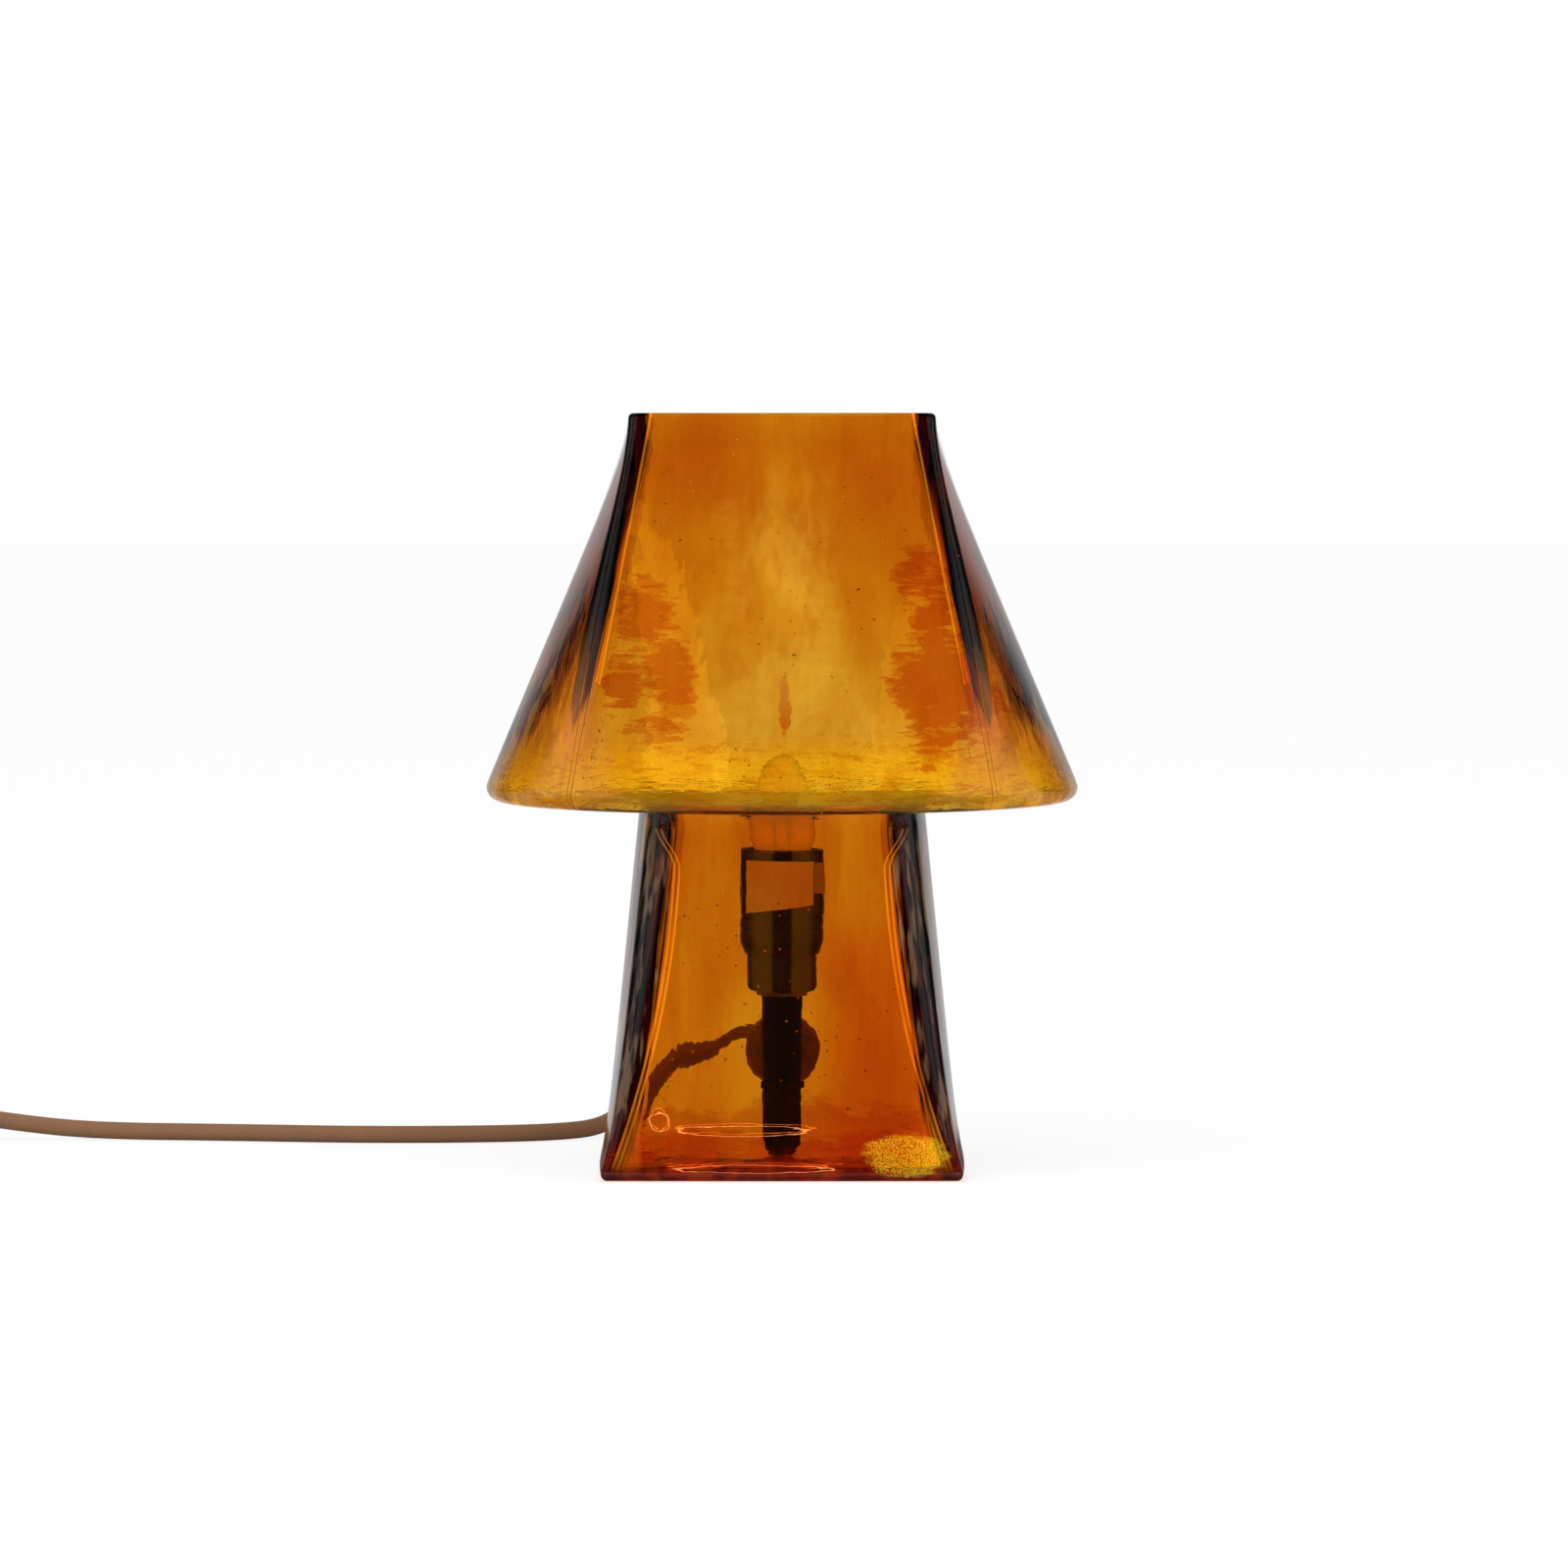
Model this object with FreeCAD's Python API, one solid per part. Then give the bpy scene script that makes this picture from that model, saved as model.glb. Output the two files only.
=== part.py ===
import FreeCAD, Part
import math
import os

# Lengths are millimetres and angles are degrees. +Z is up and -Y is the front.
# The origin is the middle of the underside of the glass foot.

# Glass body: shade and foot blown as one open-topped piece
lamp_height = 254.0
shade_radius = 100.0
shade_rim_height = 128.7
shade_rim_drop = 5.4
shade_rim_round = 5.0
shade_top_half = 51.5
shade_top_corner = 7.1
shade_rim_turn = 25.0
shade_top_turn = 1.5
shade_ease_share = 0.08
shade_level_shares = (0.0, 0.16, 0.36, 0.56, 0.74, 0.87, 0.95)
shelf_slope = 0.3
neck_drop = 9.3
neck_half = 49.0
neck_corner = 16.4
neck_fillet = 7.0
foot_half = 62.1
foot_corner = 3.0
foot_flare = 1.9
foot_turn = 1.0
foot_round = 2.4
foot_level_shares = (0.06, 0.16, 0.34, 0.62, 1.0)
flare_power = 9
corner_power_share = 0.7
corner_inset_share = 0.45
glass_wall = 4.0
glass_floor = 6.0
inner_heel = 4.0
fire_polish = 1.6
round_steps = 3

# Threaded tubes of the stem and the arm
tube_radius = 4.85
tube_bore = 3.5
thread_clearance = 0.1
thread_depth = 5.0

# Stem stack, from the glass floor up
arm_height = 34.5
stem_radius = 6.8
tee_rise = 9.0
tee_drop = 6.6
tee_spigot_share = 0.5434
tee_reach = 15.0
tee_arm_radius = 6.4
bumper_radius = 7.45
bumper_base_radius = 5.6
bumper_tip_radius = 1.2
bumper_shoulder_share = 0.3151
bumper_round = 1.6
sleeve_length = 13.8
sleeve_bore = 5.1
washer_radius = 8.5
washer_thickness = 1.2

# Socket
cap_radius = 11.55
cap_height = 15.0
cap_floor = 4.0
cap_wall = 2.0
cap_round = 2.0
sleeve_radius = 13.9
sleeve_wall = 2.15
sleeve_overlap = 2.5
sleeve_top_above_cap = 33.5
sleeve_chamfer_rise = 4.0
sleeve_chamfer_depth = 1.6
sleeve_lip = 1.0
core_height = 27.5
core_clearance = 0.15
core_floor_rise = 11.5
core_waist = 6.2
core_pocket_rise = 9.5
shell_wall = 0.3
shell_bore = 6.15
shell_length = 16.6
shell_flange_bore = 3.2
contact_radius = 2.5
contact_leaf = 0.3
contact_dome_radius = 1.5
contact_dome = 0.7
contact_rivet_radius = 1.0
contact_rivet = 5.0
terminal_rise = 5.5
terminal_shank_radius = 1.5
terminal_depth = 2.4
terminal_head_radius = 2.8
terminal_head = 1.8
terminal_gap = 1.9
set_screw_radius = 1.5
set_screw_stand = 0.4

# Bulb, seated in the socket
bulb_gap = 0.3
bulb_tip_radius = 2.2
bulb_tip_height = 1.5
bulb_insulator_radius = 5.3
bulb_insulator_height = 2.6
bulb_shell_radius = 5.85
bulb_shell_wall = 0.3
bulb_shell_height = 13.5
bulb_neck_radius = 5.25
bulb_glass_wall = 0.8
bulb_radius = 11.9
bulb_height = 36.7
bulb_neck_depth = 10.0
mount_radius = 3.4
mount_height = 14.0
wire_radius = 0.4
wire_spread = 2.4
wire_rise = 12.0

# Wall clamp of the arm
seal_radius = 13.0
inner_seal_face = 48.5
outer_seal_face = 59.5
clamp_washer_radius = 12.2
clamp_washer = 1.0
nut_across_flats = 14.0
nut_height = 3.2
arm_end = 67.0
wall_hole_clearance = 0.6

# Strain relief and cord
cord_diameter = 6.0
relief_length = 20.0
relief_collar_radius = 7.4
relief_collar = 2.5
relief_root_radius = 6.2
relief_tip_radius = 4.2
relief_round = 1.4
cord_clearance = 0.05
cord_grip = 7.0
lead_radius = 0.9
lead_spacing = 1.1
lead_bend = 5.0

# In-line switch, lying on the table
switch_x = -314.0
switch_y = 82.3
switch_half_length = 29.0
switch_half_width = 12.0
switch_split = 7.5
switch_top = 16.0
switch_wall = 1.8
switch_corner = 10.0
switch_edge = 1.6
switch_nub = 7.0
switch_nub_root = 5.6
switch_nub_tip = 4.6
switch_opening_half_length = 10.5
switch_opening_half_width = 5.8
rocker_half_length = 9.6
rocker_half_width = 5.4
rocker_under = 10.5
rocker_end_top = 18.2
rocker_mid_top = 16.7
rocker_pivot = 12.6
rocker_pin_radius = 1.25
rocker_pin_clearance = 0.08
rocker_pin_reach = 1.6
rocker_tilt = 12.0
rocker_edge = 0.5
cheek_thickness = 1.8
cheek_half_length = 3.2
cheek_gap = 0.3
boss_radius = 2.7
boss_x = 20.5
boss_y = 6.6
switch_screw_radius = 1.15
switch_screw_clearance = 0.1
switch_screw_head = 2.3
switch_screw_head_height = 1.2
switch_screw_recess = 0.4
switch_screw_length = 11.0
contact_strip = 0.6
contact_width = 3.0
contact_post_x = 7.5
contact_post_top = 7.6
contact_foot = 6.0
switch_wire_y = 2.7
switch_wire_height = 3.4

# Coil of the put-away length, its tie, and the plug
coil_x = -338.0
coil_y = 18.0
coil_mid_radius = 33.6
coil_pitch = 6.6
coil_quarters = 24
coil_start_angle = 180.0
coil_end_extra = 20.0
coil_lead_in = 27.0
coil_lead_out = 13.0
coil_probe_share = 0.001
coil_probes = 12
tie_thickness = 1.0
tie_width = 4.0
tie_clearance = 0.25
tie_corner = 2.4
tie_angle = -55.0
plug_x = -370.0
plug_entry_y = -36.0
plug_axis_height = 8.4
plug_nub = 9.0
plug_nub_tip = 4.2
plug_nub_root = 5.4
plug_length = 25.0
plug_half_width = 12.5
plug_half_height = 8.4
plug_face_half_width = 13.5
plug_waist_half_width = 9.5
plug_waist_share = 0.42
plug_corner = 2.4
plug_edge = 1.4
blade_spacing = 12.7
blade_width = 6.35
blade_thickness = 1.5
blade_length = 16.5
blade_root = 6.0
blade_hole_radius = 1.6
blade_hole_from_tip = 3.6
blade_round = 1.2

arc_reach_share = 0.45
overrun = 1.0
full_turn = 360.0

shade_underside = shade_rim_height - shade_rim_drop
neck_height = shade_underside - neck_drop
cord_radius = cord_diameter / 2
seal_parting = (inner_seal_face + outer_seal_face) / 2
relief_near = outer_seal_face + clamp_washer + nut_height
relief_far = relief_near + relief_length
switch_lead_start = switch_x - switch_half_length - switch_nub
switch_lead_end = switch_x + switch_half_length + switch_nub
coil_height = tie_thickness + tie_clearance + cord_radius

# Cord routes, chosen by hand: lamp to switch, switch to coil, coil to plug
lamp_route = (
    (0.0, relief_far, arm_height),
    (0.0, 98.0, 34.7),
    (-6.2, 111.8, 34.9),
    (-17.0, 121.6, 33.4),
    (-29.8, 125.4, 27.8),
    (-40.6, 123.6, 18.6),
    (-49.0, 115.4, 10.6),
    (-55.6, 103.0, 5.8),
    (-64.0, 89.4, 3.6),
    (-78.5, 78.6, cord_radius),
    (-104.0, 71.0, cord_radius),
    (-146.0, 69.0, cord_radius),
    (-194.0, 77.5, cord_radius),
    (-236.0, 82.5, cord_radius),
    (-260.0, 84.4, 4.6),
    (switch_lead_end, switch_y, switch_split),
)
switch_route = (
    (switch_lead_start, switch_y, switch_split),
    (-362.0, 76.5, 4.4),
    (-374.5, 63.0, cord_radius),
)
plug_route = (
    (-370.9, -23.0, 9.6),
    (plug_x, plug_entry_y, plug_axis_height),
)

axis_x = FreeCAD.Vector(1, 0, 0)
axis_y = FreeCAD.Vector(0, 1, 0)
axis_z = FreeCAD.Vector(0, 0, 1)
origin = FreeCAD.Vector(0, 0, 0)


def vec(x, y, z):
    return FreeCAD.Vector(x, y, z)


def cylinder(radius, start, end):
    """Solid rod from one point to another."""
    run = end - start
    return Part.makeCylinder(radius, run.Length, start, run)


def cone(start_radius, end_radius, start, end):
    run = end - start
    return Part.makeCone(start_radius, end_radius, run.Length, start, run)


def ring(outer, inner, bottom, top):
    """Upright tube round the lamp's axis."""
    hole = cylinder(inner, vec(0, 0, bottom - overrun), vec(0, 0, top + overrun))
    return cylinder(outer, vec(0, 0, bottom), vec(0, 0, top)).cut(hole)


def arm_ring(outer, inner, near, far):
    """Level tube round the arm's axis."""
    hole = cylinder(inner, vec(0, near - overrun, arm_height), vec(0, far + overrun, arm_height))
    return cylinder(outer, vec(0, near, arm_height), vec(0, far, arm_height)).cut(hole)


def block(x_low, x_high, y_low, y_high, z_low, z_high):
    return Part.makeBox(x_high - x_low, y_high - y_low, z_high - z_low, vec(x_low, y_low, z_low))


def edges_between(shape, low, high):
    """Edges whose whole height lies between two levels."""
    return [e for e in shape.Edges if e.BoundBox.ZMin > low and e.BoundBox.ZMax < high]


def upright_edges(shape):
    """Straight edges that run along Z."""
    return [e for e in shape.Edges
            if e.BoundBox.ZLength > overrun and e.BoundBox.XLength + e.BoundBox.YLength < overrun / 2]


def joined(shapes):
    result = shapes[0]
    for shape in shapes[1:]:
        result = result.fuse(shape)
    return result


# Glass body

def bowed_square(half, flat_half, turn, height):
    """Closed wire of four bowed sides and four corner arcs that meet in line.

    half is the distance from the axis to the middle of a side, flat_half is half
    the side's straight-across length and turn is the side's slope at its ends.
    """
    bend = math.radians(turn)
    side = half - flat_half * math.tan(bend / 2)
    radius = (side - flat_half) / (math.cos(bend) - math.sin(bend))
    corner = side - radius * math.cos(bend) + radius * math.cos(math.radians(full_turn / 8))
    spots = []
    for quarter in range(4):
        turning = FreeCAD.Rotation(axis_z, quarter * full_turn / 4)
        for x, y in ((side, -flat_half), (half, 0), (side, flat_half), (corner, corner)):
            spots.append(turning.multVec(vec(x, y, 0)) + vec(0, 0, height))
    spots.append(spots[0])
    arcs = [Part.Arc(*spots[i:i + 3]).toShape() for i in range(0, len(spots) - 1, 2)]
    return Part.Wire(arcs)


def shade_shape(share):
    """Half width, half flat and end slope at a share of the way from rim to top."""
    turn = shade_rim_turn * (1 - share) + shade_top_turn * share
    fall = (1 + shade_ease_share) * share - shade_ease_share * share ** flare_power
    half = shade_radius - (shade_radius - shade_top_half) * fall
    rim_flat = shade_radius * math.sin(math.radians(shade_rim_turn))
    flat_half = rim_flat * (1 - share) + (shade_top_half - shade_top_corner) * share
    return half, flat_half, turn


def foot_shape(height):
    """The same for the foot, which spreads and sharpens its corners downwards."""
    rise = height / neck_height
    drop = 1 - rise
    straight = foot_half - neck_half - foot_flare
    half = neck_half + straight * drop + foot_flare * drop ** flare_power
    corner = foot_corner + (neck_corner - foot_corner) * rise ** corner_power_share
    bend = math.radians(foot_turn)
    flat_half = half - corner * (math.cos(bend) - math.sin(bend))
    return half, flat_half / (1 + math.tan(bend / 2)), foot_turn


def glass_section(shape, inset, height):
    """Section of a shape moved in from its surface; its corners tighten less than its sides."""
    half, flat_half, turn = shape
    return bowed_square(half - inset, flat_half - inset * corner_inset_share, turn, height)


def quarter_round(radius):
    """Steps of a quarter round: distance in from the side, and distance from its flat end."""
    steps = [math.radians(full_turn / 4) * step / round_steps for step in range(round_steps + 1)]
    return [(radius * (1 - math.sin(angle)), radius * (1 - math.cos(angle))) for angle in steps]


def blown_sections(inset, bottom, heel, shelf, rim, fillet):
    """Sections up the whole form, at an inset from its outside: foot, neck, shade."""
    sections = [glass_section(foot_shape(bottom + up), inset + inward, bottom + up)
                for inward, up in quarter_round(heel)]
    neck_start = shelf - fillet
    start = bottom + heel
    for share in foot_level_shares:
        level = start + share * (neck_start - start)
        sections.append(glass_section(foot_shape(level), inset, level))
    for inward, up in reversed(quarter_round(fillet)[:-1]):
        sections.append(glass_section(foot_shape(neck_start), inset - inward, shelf - up))
    rim_shape = shade_shape(0)
    for inward, up in quarter_round(rim):
        sections.append(glass_section(rim_shape, inset + inward, shelf - shelf_slope + up))
    shade_rise = lamp_height - shade_rim_height
    rim_top = shelf - shelf_slope + rim
    for share in shade_level_shares:
        level = shade_rim_height + share * shade_rise
        if level > rim_top + round_steps * shelf_slope:
            sections.append(glass_section(shade_shape(share), inset, level))
    return sections


def make_glass_body():
    """Blown body: outer form less the space inside, less the hole for the arm."""
    outer = blown_sections(0, 0, foot_round, shade_underside, shade_rim_round, neck_fillet)
    inner = blown_sections(glass_wall, glass_floor, inner_heel, shade_underside + glass_wall,
                           inner_heel, neck_fillet + glass_wall)
    shade_rise = lamp_height - shade_rim_height
    for inward, down in reversed(quarter_round(fire_polish)):
        lip = shade_shape(1 - down / shade_rise)
        outer.append(glass_section(lip, inward, lamp_height - down))
        inner.append(glass_section(lip, glass_wall - inward, lamp_height - down))
    inner.append(glass_section(shade_shape(1), glass_wall - fire_polish, lamp_height + overrun))
    glass = Part.makeLoft(outer, True, True).cut(Part.makeLoft(inner, True, True))
    hole = cylinder(tube_radius + wall_hole_clearance, vec(0, neck_half - glass_wall * 2, arm_height),
                    vec(0, shade_radius, arm_height))
    return glass.cut(hole)


# Stem, from the glass floor up

tee_top = arm_height + tee_rise
tee_bottom = arm_height - tee_drop
spigot_bottom = tee_bottom - (tee_bottom - glass_floor) * tee_spigot_share
sleeve_top = tee_top + sleeve_length
cap_bottom = sleeve_top + washer_thickness
cap_top = cap_bottom + cap_height
stem_tube_top = cap_bottom + cap_floor + thread_depth / 2
stem_tube_bottom = tee_top - thread_depth


def make_tee_fitting():
    """Upright barrel with a side boss, bored through both ways and threaded at the ends."""
    barrel = cylinder(stem_radius, vec(0, 0, tee_bottom), vec(0, 0, tee_top))
    spigot = cylinder(tube_radius, vec(0, 0, spigot_bottom), vec(0, 0, tee_bottom))
    boss = cylinder(tee_arm_radius, vec(0, 0, arm_height), vec(0, tee_reach, arm_height))
    tee = barrel.fuse(boss)
    rims = [e for e in tee.Edges if e.BoundBox.YMin > tee_reach - overrun / 2]
    tee = tee.makeFillet(thread_clearance * 5, rims).fuse(spigot)
    tee = tee.cut(cylinder(tube_bore, vec(0, 0, arm_height - tube_bore), vec(0, 0, tee_top + overrun)))
    tee = tee.cut(cylinder(tube_bore, vec(0, 0, arm_height), vec(0, tee_reach + overrun, arm_height)))
    seat = tube_radius + thread_clearance
    tee = tee.cut(cylinder(seat, vec(0, 0, stem_tube_bottom), vec(0, 0, tee_top + overrun)))
    return tee.cut(cylinder(seat, vec(0, tee_reach - thread_depth, arm_height),
                            vec(0, tee_reach + overrun, arm_height)))


def make_foot_bumper():
    """Rubber foot: sleeve over the tee's spigot, ending in a cone on the glass floor."""
    shoulder = glass_floor + (tee_bottom - glass_floor) * bumper_shoulder_share
    body = cylinder(bumper_radius, vec(0, 0, shoulder), vec(0, 0, tee_bottom))
    low = edges_between(body, shoulder - overrun / 2, shoulder + overrun / 2)
    body = body.makeFillet(bumper_round, low)
    tip = cone(bumper_base_radius, bumper_tip_radius, vec(0, 0, shoulder), vec(0, 0, glass_floor))
    bore = cylinder(tube_radius + thread_clearance, vec(0, 0, spigot_bottom),
                    vec(0, 0, tee_bottom + overrun))
    return body.fuse(tip).cut(bore)


def make_stem_nipple():
    return ring(tube_radius, tube_bore, stem_tube_bottom, stem_tube_top)


def make_stem_sleeve():
    return ring(stem_radius, sleeve_bore, tee_top, sleeve_top)


def make_stem_washer():
    return ring(washer_radius, tube_radius + thread_clearance, sleeve_top, cap_bottom)


# Socket

sleeve_bottom = cap_top - sleeve_overlap
socket_sleeve_top = cap_top + sleeve_top_above_cap
sleeve_inner = sleeve_radius - sleeve_wall
core_radius = sleeve_inner - core_clearance
core_floor = cap_top + core_floor_rise
terminal_height = cap_top + terminal_rise
set_screw_height = cap_bottom + cap_floor / 2


def make_socket_cap():
    """Cup threaded on the stem, with a side hole for its set screw."""
    cup = cylinder(cap_radius, vec(0, 0, cap_bottom), vec(0, 0, cap_top))
    low = edges_between(cup, cap_bottom - overrun / 2, cap_bottom + overrun / 2)
    cup = cup.makeFillet(cap_round, low)
    cup = cup.cut(cylinder(cap_radius - cap_wall, vec(0, 0, cap_bottom + cap_floor),
                           vec(0, 0, cap_top + overrun)))
    cup = cup.cut(cylinder(tube_radius + thread_clearance, vec(0, 0, cap_bottom - overrun),
                           vec(0, 0, cap_top)))
    return cup.cut(cylinder(set_screw_radius + thread_clearance, vec(0, tube_radius, set_screw_height),
                            vec(0, cap_radius + overrun, set_screw_height)))


def make_cap_set_screw():
    return cylinder(set_screw_radius, vec(0, tube_radius + thread_clearance, set_screw_height),
                    vec(0, cap_radius + set_screw_stand, set_screw_height))


def make_socket_sleeve():
    """Upper sleeve with a tapered foot over the cap and a rounded mouth."""
    body = cylinder(sleeve_radius, vec(0, 0, sleeve_bottom + sleeve_chamfer_rise),
                    vec(0, 0, socket_sleeve_top))
    taper = cone(sleeve_radius - sleeve_chamfer_depth, sleeve_radius, vec(0, 0, sleeve_bottom),
                 vec(0, 0, sleeve_bottom + sleeve_chamfer_rise))
    body = body.fuse(taper).cut(cylinder(sleeve_inner, vec(0, 0, sleeve_bottom - overrun),
                                         vec(0, 0, socket_sleeve_top + overrun)))
    mouth = edges_between(body, socket_sleeve_top - overrun / 2, socket_sleeve_top + overrun / 2)
    return body.makeFillet(sleeve_lip, mouth)


def make_socket_core():
    """Insulating core: a well for the thread shell above, flats for the terminals below."""
    core = cylinder(core_radius, vec(0, 0, cap_top), vec(0, 0, cap_top + core_height))
    well = cylinder(shell_bore + shell_wall + core_clearance, vec(0, 0, core_floor),
                    vec(0, 0, cap_top + core_height + overrun))
    core = core.cut(well)
    core = core.cut(cylinder(contact_rivet_radius + thread_clearance,
                             vec(0, 0, core_floor - contact_rivet), vec(0, 0, core_floor + overrun)))
    for side in (-1, 1):
        near, far = sorted((side * core_waist, side * sleeve_radius))
        core = core.cut(block(near, far, -sleeve_radius, sleeve_radius,
                              cap_top - overrun, cap_top + core_pocket_rise))
        core = core.cut(cylinder(terminal_shank_radius + thread_clearance,
                                 vec(side * (core_waist - terminal_depth), 0, terminal_height),
                                 vec(side * sleeve_radius, 0, terminal_height)))
    return core


def make_socket_screw_shell():
    """Thin metal cup for the bulb's cap, with a rim at the bottom."""
    shell = ring(shell_bore + shell_wall, shell_bore, core_floor, core_floor + shell_length)
    rim = ring(shell_bore + shell_wall, shell_flange_bore, core_floor, core_floor + shell_wall)
    return shell.fuse(rim)


def make_socket_center_contact():
    leaf = cylinder(contact_radius, vec(0, 0, core_floor), vec(0, 0, core_floor + contact_leaf))
    dome = cylinder(contact_dome_radius, vec(0, 0, core_floor), vec(0, 0, core_floor + contact_dome))
    rivet = cylinder(contact_rivet_radius, vec(0, 0, core_floor - contact_rivet), vec(0, 0, core_floor))
    return joined([leaf, dome, rivet])


def make_terminal_screws():
    """Two wire screws, one each side of the core."""
    screws = []
    for side in (-1, 1):
        inner_end = side * (core_waist - terminal_depth)
        under_head = side * (core_waist + terminal_gap)
        outer_end = under_head + side * terminal_head
        shank = cylinder(terminal_shank_radius, vec(inner_end, 0, terminal_height),
                         vec(under_head, 0, terminal_height))
        head = cylinder(terminal_head_radius, vec(under_head, 0, terminal_height),
                        vec(outer_end, 0, terminal_height))
        screws.append(shank.fuse(head))
    return Part.makeCompound(screws)


# Bulb

bulb_bottom = core_floor + contact_dome + bulb_gap
bulb_shell_bottom = bulb_bottom + bulb_tip_height + bulb_insulator_height - contact_leaf
bulb_shell_top = bulb_shell_bottom + bulb_shell_height


def bulb_form(inset):
    """Envelope at an inset from its surface: neck, round bowl and long pointed crown."""
    neck = bulb_neck_radius - inset
    radius = bulb_radius - inset
    middle = bulb_shell_top + math.sqrt(bulb_radius ** 2 - bulb_neck_radius ** 2)
    top = bulb_shell_top + bulb_height - inset
    low = bulb_shell_top - bulb_neck_depth
    bowl_foot = middle - math.sqrt(radius ** 2 - neck ** 2)
    lean = (math.asin(neck / radius) + math.pi / 2) / 2
    bowl = Part.Arc(vec(neck, 0, bowl_foot),
                    vec(radius * math.sin(lean), 0, middle - radius * math.cos(lean)),
                    vec(radius, 0, middle)).toShape()
    crown = two_arcs(vec(radius, 0, middle), axis_z, vec(0, 0, top), -axis_x)
    outline = [Part.LineSegment(vec(0, 0, low), vec(neck, 0, low)).toShape(),
               Part.LineSegment(vec(neck, 0, low), vec(neck, 0, bowl_foot)).toShape(), bowl, *crown,
               Part.LineSegment(vec(0, 0, top), vec(0, 0, low)).toShape()]
    return Part.Face(Part.Wire(outline)).revolve(origin, axis_z, full_turn)


def make_bulb_envelope():
    """Hollow envelope, open at the foot of its neck."""
    inside = bulb_form(bulb_glass_wall)
    mouth = cylinder(bulb_neck_radius - bulb_glass_wall,
                     vec(0, 0, bulb_shell_top - bulb_neck_depth - overrun), vec(0, 0, bulb_shell_top))
    return bulb_form(0).cut(inside.fuse(mouth))


def make_bulb_mount():
    """Glass stem that rises from the neck, drawn in towards its top."""
    low = bulb_shell_top - bulb_neck_depth
    foot = cylinder(mount_radius, vec(0, 0, low), vec(0, 0, bulb_shell_top - bulb_neck_depth / 2))
    rod = cone(mount_radius, wire_spread, vec(0, 0, bulb_shell_top - bulb_neck_depth / 2),
               vec(0, 0, low + mount_height))
    return foot.fuse(rod)


def make_bulb_filament():
    """Two support wires and the filament arched between them."""
    low = bulb_shell_top - bulb_neck_depth + mount_height
    high = low + wire_rise
    arch = Part.Arc(vec(-wire_spread, 0, high), vec(0, 0, high + wire_spread),
                    vec(wire_spread, 0, high)).toShape()
    path = Part.Wire([Part.LineSegment(vec(-wire_spread, 0, low), vec(-wire_spread, 0, high)).toShape(),
                      arch,
                      Part.LineSegment(vec(wire_spread, 0, high), vec(wire_spread, 0, low)).toShape()])
    return swept(path, wire_radius, vec(-wire_spread, 0, low), axis_z)


def make_bulb_screw_base():
    return ring(bulb_shell_radius, bulb_shell_radius - bulb_shell_wall, bulb_shell_bottom, bulb_shell_top)


def make_bulb_insulator():
    low = bulb_bottom + bulb_tip_height
    collar = bulb_shell_radius - bulb_shell_wall
    taper = cone(bulb_tip_radius, bulb_insulator_radius, vec(0, 0, low), vec(0, 0, bulb_shell_bottom))
    plug = cylinder(collar, vec(0, 0, bulb_shell_bottom),
                    vec(0, 0, bulb_shell_top - bulb_neck_depth))
    return taper.fuse(plug)


def make_bulb_tip_contact():
    tip = cylinder(bulb_tip_radius, vec(0, 0, bulb_bottom), vec(0, 0, bulb_bottom + bulb_tip_height))
    low = edges_between(tip, bulb_bottom - overrun / 2, bulb_bottom + overrun / 2)
    return tip.makeFillet(bulb_tip_height / 2, low)


# Arm and wall clamp

def make_arm_nipple():
    return arm_ring(tube_radius, tube_bore, tee_reach - thread_depth, arm_end)


def hex_nut(near):
    """Six-sided nut on the arm."""
    corner = nut_across_flats / 2 / math.cos(math.radians(full_turn / 12))
    spots = []
    for step in range(7):
        angle = math.radians(step * full_turn / 6)
        spots.append(vec(corner * math.cos(angle), near, arm_height + corner * math.sin(angle)))
    nut = Part.Face(Part.makePolygon(spots)).extrude(vec(0, nut_height, 0))
    bore = cylinder(tube_radius + thread_clearance, vec(0, near - overrun, arm_height),
                    vec(0, near + nut_height + overrun, arm_height))
    return nut.cut(bore)


def make_inner_nut():
    return hex_nut(inner_seal_face - clamp_washer - nut_height)


def make_inner_washer():
    return arm_ring(clamp_washer_radius, tube_radius + thread_clearance,
                    inner_seal_face - clamp_washer, inner_seal_face)


def make_outer_washer():
    return arm_ring(clamp_washer_radius, tube_radius + thread_clearance,
                    outer_seal_face, outer_seal_face + clamp_washer)


def make_outer_nut():
    return hex_nut(outer_seal_face + clamp_washer)


def wall_seal(near, far, glass):
    """Rubber seal between a washer and the leaning glass wall, taking the wall's shape."""
    pieces = arm_ring(seal_radius, tube_radius + thread_clearance, near, far).cut(glass).Solids
    return max(pieces, key=lambda piece: piece.Volume)


def make_inner_seal(glass):
    return wall_seal(inner_seal_face, seal_parting, glass)


def make_outer_seal(glass):
    return wall_seal(seal_parting, outer_seal_face, glass)


def make_strain_relief():
    """Tapered rubber sleeve with a collar, over the arm's end and the cord."""
    collar_far = relief_near + relief_collar
    collar = cylinder(relief_collar_radius, vec(0, relief_near, arm_height), vec(0, collar_far, arm_height))
    rims = [e for e in collar.Edges if e.BoundBox.YMin > collar_far - overrun / 2]
    collar = collar.makeFillet(relief_round / 2, rims)
    taper = cone(relief_root_radius, relief_tip_radius, vec(0, collar_far, arm_height),
                 vec(0, relief_far, arm_height))
    body = collar.fuse(taper)
    body = body.cut(cylinder(tube_radius + thread_clearance, vec(0, relief_near - overrun, arm_height),
                             vec(0, arm_end + thread_clearance, arm_height)))
    return body.cut(cylinder(cord_radius + cord_clearance, vec(0, relief_near, arm_height),
                             vec(0, relief_far + overrun, arm_height)))


# Paths of tangent lines and arcs

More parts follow.
